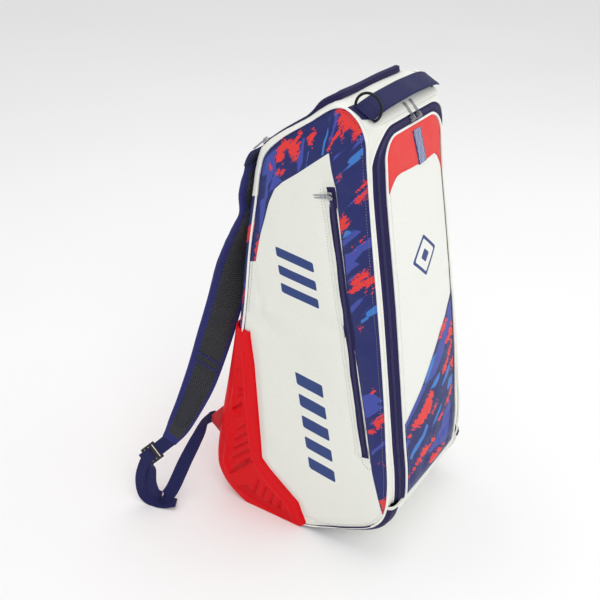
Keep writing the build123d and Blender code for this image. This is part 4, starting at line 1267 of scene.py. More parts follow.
# ---------------------------------------------------------------- piping round the sides
PIPE_HINT = np.array([1.0, 0.02, 0.01])
CORD_HINT = np.array([1.0, 0.1, 0.1])
SIDEWAYS = np.array([-1.0, 0, 0.04])
for side, flip in SIDES:
    i = np.linspace(3.1, 24.9, 420)
    rail, _, normal = rails(i)
    front = ramp01((15.2 - i) / 1.5)[:, None]
    lean = unit((0.62 - 0.30 * front) * SIDEWAYS + (0.72 + 0.22 * front) * normal)
    sweep("edge_piping_" + side, resample((rail + lean * 1.9) * flip, 420), PIPE_HINT,
          round_section(1.9, 12), "piping", replaces="side_piping_" + side, slot="white_piping")
for side, flip in SIDES:
    rail, _, normal = rails(np.linspace(-0.05, 3.4, 120))
    sweep("under_cord_" + side, (rail + unit(0.30 * SIDEWAYS + normal) * 1.2) * flip,
          PIPE_HINT, round_section(1.5, 10), "tape")

# ---------------------------------------------------------------- front lid
LID_LOW, LID_TOP = 112.0, 724.0
LID_R, LID_LOW_R = 34.0, 12.0          # upper and lower corner radii
LID_INSET = 2.2
TOP_GROWTH = 0.72                      # how much of an outward offset the top edge takes
FRAME_LOW = 113                        # where the bands round the lid start
LEG_N, ARC_N, TOP_N = 150, 14, 50      # points up a leg, round a corner, along the top
# columns: z, half width of the lid's edge
LID_WIDTHS = np.array([(100, 90), (170, 95), (234, 97), (292, 98), (374, 97), (474, 94),
                       (563, 92), (639, 90), (724, 88)], float)


def lid_edge(z):
    return np.interp(z, LID_WIDTHS[:, 0], LID_WIDTHS[:, 1])


def lid_loop(grow, z_low):
    """(x, z) line up the near leg, over the top and down the far leg, grown outwards."""
    r = LID_R + grow * TOP_GROWTH
    top = LID_TOP + grow * TOP_GROWTH
    x_edge = lid_edge(LID_TOP - LID_R) + grow
    cx, cz = x_edge - r, top - r
    z = np.linspace(z_low, cz, LEG_N)
    leg = np.stack([-(lid_edge(z) + grow), z], 1)
    leg[-1, 0] = -x_edge
    a = np.radians(np.linspace(180, 90, ARC_N + 1))[1:]
    arc = np.stack([-cx + r * np.cos(a), cz + r * np.sin(a)], 1)
    half = np.vstack([leg, arc])
    return np.vstack([half, xyz(np.linspace(-cx, cx, TOP_N)[1:-1], top), half[::-1] * [-1, 1]])


def lid_loop_3d(grow, z_low, recess):
    x, z = lid_loop(grow, z_low).T
    down = ramp01((LID_TOP + grow * TOP_GROWTH - z) / (LID_R + grow * TOP_GROWTH))
    return xyz(x, front_y(z) + 0.4 + (recess - 0.4) * down, z)


def band_normals(a, b):
    """Normals of the band between two loops, towards the front."""
    n = unit(np.cross(unit(np.gradient(a, axis=0)), unit(b - a)))
    return np.where(n[:, 1:2] > 0, -n, n)


def lid_half(z):
    """Half width of the lid face at height z, corners rounded."""
    half = lid_edge(z) - LID_INSET
    centre = LID_TOP - LID_R
    q = np.clip(z - centre, 0, LID_R)
    half = half - (LID_R - np.sqrt(np.maximum(LID_R ** 2 - q * q, 0))) * (z > centre)
    q = np.clip(LID_LOW + LID_LOW_R - z, 0, LID_LOW_R)
    return half - (LID_LOW_R - np.sqrt(np.maximum(LID_LOW_R ** 2 - q * q, 0)))


def lid_y(x, z):
    f = np.clip(x / (lid_edge(z) - LID_INSET), -1, 1)
    fade = ramp01(np.minimum((LID_TOP - z) / 120.0, (z - LID_LOW) / 120.0 + 0.2))
    return front_y(z) - 5.6 * (1 - f * f) * fade


lid_z = np.concatenate([np.linspace(LID_LOW, 640, 180)[:-1], np.linspace(640, LID_TOP - 0.4, 64)])
lid_u = np.sin(np.linspace(-np.pi / 2, np.pi / 2, 84)) * 0.45 + np.linspace(-1, 1, 84) * 0.55
x = lid_half(lid_z)[:, None] * lid_u
z = np.broadcast_to(lid_z[:, None], x.shape)
flat_y = lid_y(x, z)
flat = xyz(x, flat_y, z)
lid_puff = enlarge(puff(flat[::8, ::5], pressure=3.2, cap=3.2, seed=9), *x.shape)[..., 1]
edge = np.minimum(lid_half(lid_z)[:, None] - np.abs(x), np.minimum(z - LID_LOW, LID_TOP - z))
inset = np.maximum(edge, 0)
bulge = 1.6 * (1 - hill(inset, 16, 1.3)) - 1.5 * hill(inset, 2.4, 1.4)
soft = ramp01(edge / 30) * (0.8 * wrinkles(flat, 170, 21) + 0.35 * wrinkles(flat, 60, 22))
lid_face_y = (flat_y - bulge - soft
              + ramp01(edge / 20) * np.clip(lid_puff, -3.2, 1.6) * 0.8)


def rhomb(w, h):
    cx, cz = -2.0, 520.0
    return [(cx - w, cz), (cx, cz + h), (cx + w, cz), (cx, cz - h)]


xz = xyz(x, z)
printed_area = (outline("-140,60 140,60 140,430 95,420") + LID_PRINT_TOP[::-1]
                + [(-140, 232)])
mark = np.minimum(np.abs(outline_dist(xz, rhomb(35, 31))) - 2.6,
                  outline_dist(xz, rhomb(13, 11.5)))
slab("lid_face", xyz(x, lid_face_y, z), xyz(x, flat_y + 3.4, z), "lid lining white",
     attrs=dict(sd_trim=outline_dist(xz, printed_area), sd_mid=outlines_dist(xz, LID_MID),
                sd_bright=outlines_dist(xz, LID_BRIGHT),
                sd_red=outlines_dist(xz, LID_RED) + 0.8, sd_mark=mark),
     body="lid", replaces="lid_panel", slot="white_leather")


def lid_at(x, z, lift=0.0):
    """Point on the lid's soft face."""
    u = np.clip(x / lid_half(z), -1, 1)
    y = sample(lid_face_y, np.interp(z, lid_z, np.arange(len(lid_z))),
               np.interp(u, lid_u, np.arange(len(lid_u))))
    return xyz(x, y - lift, z)


def lid_stitches(x, z, thread, lift=0.0, **size):
    stitch_row(lid_at(x, z, lift), np.array([0, -1.0, 0.14]), thread, body="lid", **size)


# stitching inside the lid's edge, and along the printed area's upper edge
line = lid_loop(-8.0, 126)
lid_stitches(line[:, 0], line[:, 1], "th_white", long=3.0, gap=1.5)
line = resample(np.array([(-92, 262)] + LID_PRINT_TOP[1:-1] + [(86, 410)]), 120)
lid_stitches(line[:, 0], line[:, 1] + 2.2, "th_beige", long=3.2, gap=1.6, r=0.42)

# red patch across the top of the lid
PATCH_HALF = 85.4
px = np.sin(np.linspace(-np.pi / 2, np.pi / 2, 76)) * PATCH_HALF
low = np.interp(px, PATCH_LOW[:, 0], PATCH_LOW[:, 1])
q = np.clip(np.abs(px) - (85.8 - LID_R), 0, LID_R)
top = (LID_TOP - LID_R - 1.2) + np.sqrt(np.maximum(LID_R ** 2 - q ** 2, 0.5))
z = low + (top - low) * np.linspace(0, 1, 30)[:, None]
x = np.broadcast_to(px, z.shape)
edge = np.minimum(np.minimum(z - low, top - z), PATCH_HALF - np.abs(x))
lift = (1.25 - 0.9 * hill(np.maximum(edge, 0), 1.2, 1.4)
        + 0.25 * wrinkles(xyz(x, 0.0, z), 60, 8))
slab("lid_red_patch", lid_at(x, z, lift), lid_at(x, z, -0.8), "redleather", body="lid",
     replaces="lid_patch_near lid_patch_far", slot="red_leather")
lid_stitches(px[2:-2], low[2:-2] + 3.4, "th_red", 1.0, long=3.0, gap=1.4, r=0.42)

# woven label sewn over it, a little askew
LABEL_W = 25.5
u, v = np.linspace(0, 1, 26), np.linspace(0, 1, 40)[:, None]
x = (-8.0 + LABEL_W * u) + 9.5 * (1 - v)
z = 662.5 + 53.0 * v + 0 * x
lift = (2.4 + 0.35 * np.sin(v * 9) * (u - 0.5) * 2
        - 0.9 * hill(np.minimum(u, 1 - u) * 27, 1.0))
slab("woven_label", lid_at(x, z, lift), lid_at(x, z, 0.9), "label", body="lid",
     replaces="lid_label", slot="woven_label")
for share in (0.06, 0.94):
    lid_stitches(x[:, 0] + share * LABEL_W, z[:, 0], "th_navy", 2.3, long=2.2, r=0.35)


# ---------------------------------------------------------------- zip and frame round the lid
def ribs(g, low, high):
    """Rib height across a tape, g running 0..1."""
    return low + high * np.abs(np.sin(g * np.pi * 2.5))


def lid_band(name, grow, recess, **options):
    """Zip tape between two loops; grow and recess hold the inner and outer values."""
    a, b = (lid_loop_3d(g, FRAME_LOW, r) for g, r in zip(grow, recess))
    n = band_normals(a, b)[:, None]
    f = np.linspace(0, 1, 16)[:, None]
    line = a[:, None] * (1 - f) + b[:, None] * f
    slab(name, line + n * ribs(f, 0.35, 0.35), line - n * 2.0, "tape",
         slot="navy_zip_tape", **options)


lid_band("lid_tape", grow=(1.6, 12.3), recess=(0.6, 6.2), body="lid", replaces="lid_zip_tape")
lid_band("body_tape", grow=(12.9, 22.8), recess=(6.5, 12.2), replaces="body_zip_tape")
line = lid_loop_3d(12.6, 116, 6.4)
normal = band_normals(line, lid_loop_3d(14.0, 116, 7.2))
zip_coil("lid_coil", line + normal * 0.5, normal, width=4.6, height=1.5, body="lid")
LOOP_HINT = np.array([0.02, 1.0, 0.03])
sweep("lid_edge_piping", lid_loop_3d(0.4, FRAME_LOW, -0.6), LOOP_HINT, round_section(2.1, 12),
      "piping", body="lid", replaces="lid_piping", slot="white_piping")
sweep("frame_piping", lid_loop_3d(23.4, FRAME_LOW, 12.2) - (0, 0.6, 0), LOOP_HINT,
      round_section(1.9, 12), "piping")

# white frame between the zip band and the side seams, closed over the top edge
TOP_I = 14.42                          # profile row where the top begins
CORNER_Z = 712


def side_rail(z):
    return xyz(-half_width(z), side_front(z), z)


def frame_outer_edge():
    """Outer edge of the frame, point for point with the lid loop."""
    rise = side_rail(np.linspace(CORNER_Z, profile(TOP_I)[1], 7))
    bevel = skin([TOP_I], np.linspace(0, 1, 9))[0]
    corner = resample(np.vstack([rise, bevel[1:]]), ARC_N + 1)[1:]
    half = np.vstack([side_rail(np.linspace(FRAME_LOW, CORNER_Z, LEG_N)), corner])
    top = skin([TOP_I], np.linspace(1, 2, 60))[0]
    x = np.interp(np.linspace(0, 1, TOP_N)[1:-1], np.linspace(0, 1, 60), top[:, 0])
    return np.vstack([half, xyz(x, top[0, 1], top[0, 2]), half[::-1] * FLIP])


f = np.linspace(0, 1, 9)[:, None]
grid = (lid_loop_3d(23.6, FRAME_LOW, 12.4)[:, None] * (1 - f)
        + frame_outer_edge()[:, None] * f)
x, z = grid[..., 0], grid[..., 2]
normal = unit(xyz(np.sign(x) * 0.6 * ramp01(np.abs(x) / 100), -0.75,
                  ramp01((z - 690) / 40) * 0.8))
slab("front_frame", grid + normal * (np.sin(np.pi * f) * 1.6), grid - normal * 2.4,
     "white lining white")

# ---------------------------------------------------------------- top and rear gussets
wrap("top_skin", TOP_I, 17.02, 46, ACROSS, "white lining white", crown=1.0, seed=31,
     replaces="top_gusset", slot="white_leather", drop="j")
for side, flip in SIDES:
    wrap("rear_skin_" + side, 16.98, 20.02, 60, np.linspace(0, 0.80, 14), "white lining white",
         seed=32, flip=flip, replaces="rear_gusset_" + side, slot="white_leather", drop="j")

REAR_COIL_F = 0.89


def rear_ribs(i, f):
    g = (f - 0.78) / 0.22
    return ribs(g, 0.2, 0.4) - 0.7 * hill(np.minimum(g, 1 - g), 0.05)


for side, flip in SIDES:
    wrap("rear_tape_" + side, 17.18, 19.98, 60, np.linspace(0.78, 1.0, 19), "tape",
         lift=rear_ribs, seed=33, wrinkle=0.2, flip=flip, inner_lift=-1.5,
         replaces="rear_zip_tape_" + side, slot="navy_zip_tape", drop="iI")
    i = np.linspace(17.3, 19.85, 60)
    zip_coil("rear_coil_" + side, skin_line(i, REAR_COIL_F, 0.4) * flip, profile_normal(i),
             width=4.6, height=1.4)
    sweep("rear_piping_%s_100" % side, skin_line(np.linspace(17.2, 19.95, 60), 1.0, 1.0) * flip,
          CORD_HINT, round_section(1.4, 8), "white")

# raised zip bar: up the near edge, across in front of the flap, down the far edge
BAR_N = 260
leg = skin_line(np.linspace(18.6, 17.75, 10), REAR_COIL_F, -0.8)
knee = np.array([(-97.5, -72.0, 764.5), (-94.5, -80.0, 769.4), (-87.0, -85.2, 772.4)])
x = np.linspace(-78, 78, 40)[::3]
half = np.vstack([leg, knee])
bar = curve(np.vstack([half, xyz(x, -86.0, 773.2 + 0.5 * np.sin(x / 19.0)),
                       half[::-1] * FLIP]), BAR_N)
share = np.linspace(0, 1, BAR_N)
height = 0.10 + 0.90 * smoothstep((np.minimum(share, 1 - share) - 0.06) / 0.13)[:, None]
tangent = unit(np.gradient(bar, axis=0))
across = unit(np.cross(tangent, (0, 0.25, 1.0)))
up = unit(np.cross(across, tangent))
section = resample(np.array([
    (5.2, -3.5), (5.8, 1.0), (5.0, 5.0), (2.2, 6.6), (0.8, 6.2), (0, 5.6),
    (-0.8, 6.2), (-2.2, 6.6), (-5.0, 5.0), (-5.8, 1.0), (-5.2, -3.5)]), 30)
wide = across[:, None] * section[:, :1]
tall = section[:, 1:] * height[:, None]
slab("rear_zip_bar", bar[:, None] + wide + up[:, None] * tall,
     bar[:, None] + wide * 0.5 + up[:, None] * (tall * 0.4 - 1.2), "tape",
     replaces="rear_zip_band", slot="navy_zip_tape")
inner = slice(8, -8)
zip_coil("rear_bar_coil", bar[inner] + up[inner] * (5.5 * height[inner]), up[inner],
         width=4.2, height=1.1)
inner = slice(4, -4)
for place, sign in (("back", -1), ("front", 1)):
    line = bar[inner] + across[inner] * sign * 5.4 + up[inner] * (4.2 * height[inner])
    sweep("rear_bar_edge_" + place, line, up[inner], round_section(0.8, 8), "web")

flap_f = np.concatenate([np.linspace(0.945, 1, 5), np.linspace(1, 2, 44)[1:],
                         np.linspace(2, 2.055, 5)[1:]])
flap = wrap("rear_flap_face", 17.06, 20.0, 60, flap_f, "white lining white", lift=1.3,
            crown=3.0, wrinkle=0.9, seed=34, body="rear_flap", replaces="rear_flap",
            slot="white_leather")
flap_normal = profile_normal(np.linspace(17.06, 20.0, 60))
for line, normal in ((flap[:, 3], flap_normal), (flap[:, -4], flap_normal),
                     (flap[3], np.array([0, 0.6, 0.8]))):
    stitch_row(line, normal, "th_white", long=3.0, gap=1.5, body="rear_flap")


# ---------------------------------------------------------------- back and bottom
def strip_print(grid):
    """Torn print along the upper part of the back edge strips."""
    z = grid[..., 2]
    u = np.linspace(0, 1, grid.shape[1]) * 26
    nowhere = np.full_like(z, 50.0)
    red = 3.0 + 5.0 * np.sin(z / 9.0 + u / 5.0) + 4 * np.sin(z / 23.0)
    return dict(sd_trim=z - 606 + u * 0.5, sd_mid=5 + 5 * np.sin(z / 13.0 + 2),
                sd_bright=nowhere, sd_red=red + 3, sd_mark=nowhere)


for side, flip in SIDES:
    wrap("back_strip_" + side, 19.98, 24.98, 110, np.linspace(0, 0.98, 20),
         "side lining white", seed=35, flip=flip, attrs=strip_print,
         replaces="back_gusset_" + side, slot="side_leather", drop="jJ")
    sweep("back_piping_" + side, skin_line(np.linspace(20.14, 24.98, 110), 1.0, 0.8) * flip,
          CORD_HINT, round_section(1.7, 8), "piping")
wrap("back_face", 20.02, 24.98, 110, np.linspace(1.0, 2.0, 60), "backfab lining backfab",
     crown=0.6, seed=36, replaces="back_panel", slot="back_fabric")


def pad_lift(i, f):
    """Cushion height, with channels across it and one down the middle."""
    g = (f - 1.22) / 0.56
    run = (i[:, None] - 21.2) / 3.55
    edge = np.minimum(np.minimum(g, 1 - g) * 110, np.minimum(run, 1 - run) * 400)
    height = 9.0 * (1 - hill(np.maximum(edge, 0), 9, 1.2))
    channels = hill(run * 5 % 1.0 - 0.5, 0.06) * 4.5 + hill(g - 0.5, 0.03) * 4.0
    return 1.0 + np.maximum(height - channels * (edge > 6), 0.5)


wrap("back_cushion", 21.2, 24.75, 150, np.linspace(1.22, 1.78, 70), "backmesh",
     lift=pad_lift, wrinkle=0.3, seed=37, inner_lift=0.0, replaces="back_pad",
     slot="black_mesh")
wrap("lower_back_skin", 24.95, 34.05, 120, ACROSS, "backfab lining backfab", lift=-1.2,
     seed=38, wrinkle=0.4, inner_lift=-3.4, replaces="lower_back_gusset", slot="back_fabric")
wrap("base_skin", 33.98, 35.02, 14, ACROSS, "backfab lining backfab", wrinkle=0.0, seed=39,
     inner_lift=-2.0, replaces="base_panel", slot="back_fabric", drop="")
wrap("bottom_skin", -0.02, 5.02, 90, ACROSS, "white lining white", crown=1.0, seed=40,
     replaces="bottom_gusset", slot="white_leather", drop="jJ")

# the zip band runs on under the front
for side, flip in SIDES:
    i = np.linspace(-0.02, 4.9, 70)
    g = np.linspace(0, 1, 12)
    lift = ribs(g, 1.0, 0.4) - 0.9 * hill(np.minimum(g, 1 - g), 0.06)
    for k, (f0, f1) in enumerate(((0.10, 0.50), (0.54, 0.94))):
        f = np.linspace(f0, f1, 12)
        slab("under_tape_%s_%d" % (side, k), skin(i, f, lift) * flip, skin(i, f, -0.8) * flip,
             "tape")
    coil_i = np.linspace(0.1, 4.85, 70)
    zip_coil("under_coil_" + side, skin_line(coil_i, 0.52, 1.0) * flip,
             profile_normal(coil_i) * flip, width=4.6, height=1.4)
    for k, f in enumerate((0.06, 0.98)):
        sweep("under_piping_%s_%d" % (side, k), skin_line(i, f, 1.0) * flip, CORD_HINT,
              round_section(1.5, 8), "piping")


# ---------------------------------------------------------------- inside
def soft_plate(name, y_front, y_back, z_low, z_top, inset, mat, swell, seed, **options):
    """Upright padded sheet across the bag, inset from its sides."""
    z = np.linspace(z_low, z_top, 90)[:, None]
    half = half_width(z) - inset
    x = half * np.linspace(-1, 1, 50)
    edge = np.minimum(half - np.abs(x), np.minimum(z - z_low, z_top - z))
    bulge = (swell * (1 - hill(np.maximum(edge, 0), 12, 1.2)) * 0.5
             + 0.6 * swell * wrinkles(xyz(x, 0.0, z), 120, seed) * ramp01(edge / 20))
    slab(name, xyz(x, y_front - bulge * 0.6 + 0.2, z), xyz(x, y_back + bulge * 0.5 - 0.2, z),
         mat, **options)


soft_plate("divider_padded", -64, -56, 14, 728, inset=9.0, mat="lining", swell=2.4, seed=3,
           replaces="compartment_divider", slot="lining")
soft_plate("divider_pocket_mesh", -55, -53, 330, 520, inset=39.0, mat="backmesh", swell=1.6,
           seed=6, replaces="divider_pocket", slot="black_mesh")

# ---------------------------------------------------------------- moulded boot
BOOT_OFF = 5.2                         # how far it stands off the skin
CHEEK_COLS = 44
boot_i = np.concatenate([np.linspace(24.85, 27.5, 90)[:-1], np.linspace(27.5, 31.0, 84)[:-1],
                         np.linspace(31.0, 35.0, 78)])
# columns: profile row, share of the run along BOOT_EDGE that it meets
EDGE_MATCH = np.array([
    (24.85, 0.0), (25.6, 0.13), (26.5, 0.26), (28.0, 0.43), (29.0, 0.535), (29.8, 0.60),
    (30.6, 0.655), (31.4, 0.70), (32.4, 0.76), (33.3, 0.83), (34.0, 0.885), (35.0, 1.0)])
_edge = np.array(BOOT_EDGE)
_run = run_length(_edge)
boot_edge = along(_edge, _run, np.interp(boot_i, *EDGE_MATCH.T) * _run[-1])
boot_rail = rails(boot_i, BOOT_OFF)[0][:, 1:]
f = np.linspace(0, 1, CHEEK_COLS)[:, None]
cheek = boot_edge[:, None] * (1 - f) + boot_rail[:, None] * f


def boot_relief(yz):
    """Height of the moulding over the side face."""
    height = 3.8 + 2.0 * hill(line_dist(yz, LONG_RIDGE), 2.2)
    panel = (LONG_RIDGE[1:7] + outline("44,96 70,84 94,52") + LOWER_RIDGE[4::-1]
             + UPPER_RIDGE[::-1])
    height = height - 2.6 * smoothstep(-outline_dist(yz, panel), 0.2, 3.5)
    for ridge in (UPPER_RIDGE, LOWER_RIDGE):
        height = height + 2.0 * hill(line_dist(yz, ridge), 2.0)
    for groove in BOOT_GROOVES:
        height = height - 2.6 * hill(line_dist(yz, groove), 2.2)
    for wedge in BOOT_WEDGES:
        height = height - 2.6 * smoothstep(-outline_dist(yz, wedge), -0.8, 1.6)
    height = height - 1.5 * smoothstep(-outline_dist(yz, BOOT_FACET), -0.6, 1.6)
    # shallow slanted flutes over the heel
    y, z = yz[..., 0], yz[..., 1]
    heel = np.exp(-((y - 84) ** 2 + (z - 96) ** 2) / 34 ** 2)
    return height + 0.7 * np.sin((y * 0.72 + z * 0.69) / 3.4) * heel


def boot_painted_light(yz):
    """Painted highlight on the ridges, painted shade in the grooves and hollows."""
    painted_relief_light = 0.9 * hill(line_dist(yz, LONG_RIDGE), 1.8)
    for ridge in (UPPER_RIDGE, LOWER_RIDGE):
        painted_relief_light = painted_relief_light + 0.55 * hill(line_dist(yz, ridge), 1.6)
    for groove in BOOT_GROOVES:
        painted_relief_light = painted_relief_light - 0.9 * hill(line_dist(yz, groove), 1.8)
    for wedge in BOOT_WEDGES:
        painted_relief_light = painted_relief_light - 1.0 * smoothstep(-outline_dist(yz, wedge), -1.0, 1.0)
    return painted_relief_light - 0.45 * smoothstep(-outline_dist(yz, BOOT_FACET), -0.8, 1.0)


def boot_cheek():
    """The part lying on the side face."""
    from_edge = np.linalg.norm(cheek - boot_edge[:, None], axis=2)
    from_rail = np.linalg.norm(cheek - boot_rail[:, None], axis=2)
    y, z = cheek[..., 0], cheek[..., 1]
    height = np.maximum(boot_relief(cheek) - 2.9 * hill(from_edge, 1.5, 1.5) + 1.3, 0.0)
    fade = hill(from_rail, 5.0, 1.4)
    height = height * (1 - fade) + 4.4 * fade
    height = height - 2.4 * ramp01((z - 344) / 14) * ramp01(1 - np.abs(y - 64) / 7)
    # near its edge the moulding rides over the soft panel
    soft = -side_line(cheek)[..., 0] - half_width(z)
    ride = np.clip(soft, -1, 9) * hill(from_edge, 9.0, 1)
    x = -(half_width(z) + np.maximum(height, 0.2) + np.maximum(ride * 0.75, 0))
    x[:, 0] = -(half_width(boot_edge[:, 1]) + np.maximum(soft[:, 0] - 0.8, -0.8))
    return xyz(x, y, z)


def window_half(z):
    """Half width of the window in the back wall."""
    straight = np.interp(z, (176, 190, 250, 420), (0, 46, 70, 84))
    return np.where(z < 192, 46 * np.sqrt(ramp01((z - 176) / 16.0)), straight)


def boot_back(bevel_end):
    """The back wall, from the bevel's end to the window or the centre line."""
    y, z = bevel_end[:, 1:2], bevel_end[:, 2:3]
    x_out = -bevel_end[:, :1]
    gap = np.minimum(np.where(z > 176, window_half(z), 0.0), x_out - 2)
    gap = np.where(boot_i[:, None] > 31.5, 0.0, gap)
    x = -(x_out + (gap - x_out) * np.linspace(0, 1, 34)[1:])
    from_window = np.abs(x) - gap
    rim = (1.2 * hill(from_window - 6, 2.2)
           - 2.6 * hill(np.maximum(from_window, 0), 1.5, 1.5) * (gap > 0.5))
    flutes = 0.8 * np.sin(np.abs(x) / 7.0) * hill(z - 110, 55) * ramp01((118 - np.abs(x)) / 20)
    return xyz(x, y, z) + profile_normal(boot_i)[:, None] * (rim + flutes)[..., None]


side_part = boot_cheek()
bevel = skin(boot_i, np.linspace(0, 1, 12), BOOT_OFF)
# meet the cheek's last column exactly, easing the step out over the next five
step = side_part[:, -1] - bevel[:, 0]
bevel[:, 0] = side_part[:, -1]
bevel[:, 1:6] += step[:, None] * np.linspace(0.8, 0.1, 5)[:, None]
boot = np.concatenate([side_part, bevel[:, 1:], boot_back(bevel[:, -1])], 1)
boot[..., 2] = np.maximum(boot[..., 2], 0.0)
normal = np.cross(np.gradient(boot, axis=0), np.gradient(boot, axis=1))
normal = normal / np.maximum(np.linalg.norm(normal, axis=2, keepdims=True), 1e-9)
outward = np.sign(np.einsum("ijk,ijk->ij", normal, boot - np.array([0, -20.0, 180.0])))
if not np.median(outward) > 0:
    normal = -normal
thick = np.full(boot.shape[:2], 3.6)
thick[:, :6] = np.linspace(1.2, 3.4, 6)
boot_inner = boot - normal * thick[..., None]
boot_inner[..., 2] = np.maximum(boot_inner[..., 2], 0.8)
# painted light over the boot's side face: highlight on its ridges, shade in its grooves, wedges
# and facet
painted_relief_light = np.zeros(boot.shape[:2])
painted_relief_light[:, :CHEEK_COLS] = boot_painted_light(cheek)
for side, flip in SIDES:
    slab("boot_half_" + side, boot * flip, boot_inner * flip, "red", attrs=dict(painted_relief_light=painted_relief_light),
         replaces="boot", slot="red_moulding", sharp=35)
    sweep("boot_rim_" + side, resample(boot[:, 0] * flip, 260), np.array([1.0, 0.0, 0.05]),
          round_section(1.5, 8), "red")

# red anchor wedges behind the boot; corners (y, z): upper inner, upper outer, lower outer, inner
corners = np.array([(114.5, 186.0), (143.5, 154.0), (144.5, 139.0), (125.0, 117.0)])
a, g = np.linspace(0, 1, 20)[:, None], np.linspace(0, 1, 14)[:, None]
upper = corners[0] * (1 - a) + corners[1] * a
lower = corners[3] * (1 - a) + corners[2] * a
yz = upper[:, None] * (1 - g) + lower[:, None] * g
y, z = yz[..., 0], yz[..., 1]
edge = np.minimum(np.minimum(a, 1 - a) * 48, np.minimum(g, 1 - g).T * 60)
bulge = 1.6 * (1 - hill(edge, 3, 1.2)) + 0.4 * wrinkles(xyz(y, z, 0.0), 26, 3)
for side, flip in SIDES:
    tab = xyz(-(127.5 + bulge + 3 * a), y, z) * flip
    slab("anchor_tab_" + side, tab, xyz(-(120.5 - bulge + 3 * a), y, z) * flip, "redtab",
         replaces="boot_tab_" + side, slot="red_tab")
    for line in (tab[2:-1, 3], tab[2:-1, 10], tab[16, 1:-1]):
        stitch_row(line, OUT * flip, "th_red", r=0.45)


# ---------------------------------------------------------------- webbing
def ribbon(name, points, hint, width, thick, n, flip=1.0, stitched=False, wobble=0.4, seed=1,
           **options):
    """Flat webbing with rounded edges. Returns its path, width direction and normal."""
    path = curve(points, n)
    if np.ndim(hint) > 1:
        hint = resample_dirs(hint, n)
    _, across, normal = frames(path, hint)
    path = path + normal * (wobble * wrinkles(path, 60, seed))[:, None]
    u = np.linspace(-1, 1, 13)[:, None]
    half = thick / 2 * np.sqrt(np.maximum(1 - ramp01((np.abs(u) - 0.88) / 0.12) ** 2, 0.04))
    cup = 0.1 * u ** 2
    line = path[:, None] + across[:, None] * (u * width / 2)
    outer = line + normal[:, None] * (half + cup)
    inner = line - normal[:, None] * (half - cup)
    if stitched:
        for column in (1, 11):
            for face, grid in ((1, outer), (-1, inner)):
                stitch_row(grid[:, column] * flip, normal * face * flip, long=2.6, gap=1.4,
                           r=0.36, body=options["body"])
    slab(name, outer * flip, inner * flip, "web", **options)
    return path, across, normal


# carry handle over the top, symmetric about x = 0
HANDLE_ACROSS = unit(np.array([0.0, 0.88, 0.47]))
half = np.array([(-105, -137.5, 762.5), (-93, -139, 766), (-75, -140.5, 769),
                 (-48, -141.5, 771.5), (-20, -142, 772.5)])
path, across, normal = ribbon(
    "carry_handle_web", np.vstack([half, half[::-1] * FLIP]), HANDLE_ACROSS, width=33.0,
    thick=2.6, n=170, stitched=True, wobble=0.5, seed=3, body="handle",
    replaces="carry_handle", slot="navy_webbing")
up = normal * (1.0 if normal[85][2] > 0 else -1.0)
# second layer folded under the grip
ribbon("carry_handle_lining", (path[34:136] - up[34:136] * 2.6)[::6], HANDLE_ACROSS,
       width=27.0, thick=2.0, n=90, wobble=0.2, seed=4, body="handle")
# crossed and edge stitching near both ends
for end in (slice(12, 32), slice(138, 158)):
    g = np.linspace(0, 1, 20)[:, None]
    for s0, s1, r in ((-12, 12, 0.36), (12, -12, 0.36), (-12, -12, 0.4), (12, 12, 0.4)):
        stitch_row(path[end] + across[end] * (s0 + (s1 - s0) * g) + up[end] * 1.35, up[end],
                   r=r, body="handle")
for side, flip in SIDES:
    foot = wrap("handle_foot_" + side, 15.02, 15.98, 26, np.linspace(0.30, 1.0, 24), "web",
                lift=2.3, wrinkle=0.1, seed=41, flip=flip, inner_lift=0.3,
                replaces="handle_base_" + side, slot="navy_webbing")
    rows = np.arange(3, 23)
    normal = profile_normal(np.linspace(15.02, 15.98, 26))[rows]
    for c0, c1, r in ((3, 20, 0.36), (20, 3, 0.36), (3, 3, 0.4), (20, 20, 0.4)):
        columns = np.round(np.linspace(c0, c1, len(rows))).astype(int)
        stitch_row(foot[rows, columns], normal, r=r)

# D-ring: round wire with a straight bar behind the webbing
turn = np.radians(np.linspace(-30, 210, 60))[:, None]
ring_up = np.array([0.0, -HANDLE_ACROSS[2], HANDLE_ACROSS[1]])
ring = (np.array([-99.0, -141.2, 769.6])
        + 20.5 * (np.cos(turn) * HANDLE_ACROSS + np.sin(turn) * ring_up))
straight = np.linspace(0, 1, 16)[1:-1, None] * (ring[0] - ring[-1]) + ring[-1]
sweep("d_ring_wire", np.vstack([ring, straight]), np.array([1.0, 0, 0]),
      round_section(2.05, 12), "blackmetal", closed=True, body="d_ring", replaces="d_ring",
      slot="black_metal")

# ---------------------------------------------------------------- shoulder straps
# near strap stations: centre x, y, z; width direction x, y, z; width
STRAP = np.array([
    (-88, 62, 646, 1, 0, 0, 52), (-88, 71.5, 600, 1, 0, 0, 58),
    (-88, 71, 567, 1, 0, 0, 60), (-89, 88, 532, 1, -.05, 0, 62),
    (-90, 104, 492, 1, -.2, 0, 62), (-94, 121, 406, .62, -.76, -.1, 62),
    (-120, 137, 314, .45, -.86, -.25, 62), (-155, 149, 233, .4, -.85, -.33, 57),
    (-198, 166, 160, .2, -.8, -.55, 42), (-214, 175, 137, .05, -.74, -.66, 27)])
STRAP_N, STRAP_COLS = 260, 41
strap_path = curve(STRAP[:, :3], STRAP_N)
_run = run_length(STRAP[:, :3])
STRAP_LENGTH = _run[-1]
strap_run = np.linspace(0, STRAP_LENGTH, STRAP_N)
_hint = unit(along(unit(STRAP[:, 3:6]), _run, strap_run))
_hint = unit(np.stack([smooth(column, 15) for column in _hint.T], 1))
strap_width = smooth(np.interp(strap_run, _run, STRAP[:, 6]), 15)
strap_tangent, strap_across, strap_normal = frames(strap_path, _hint)

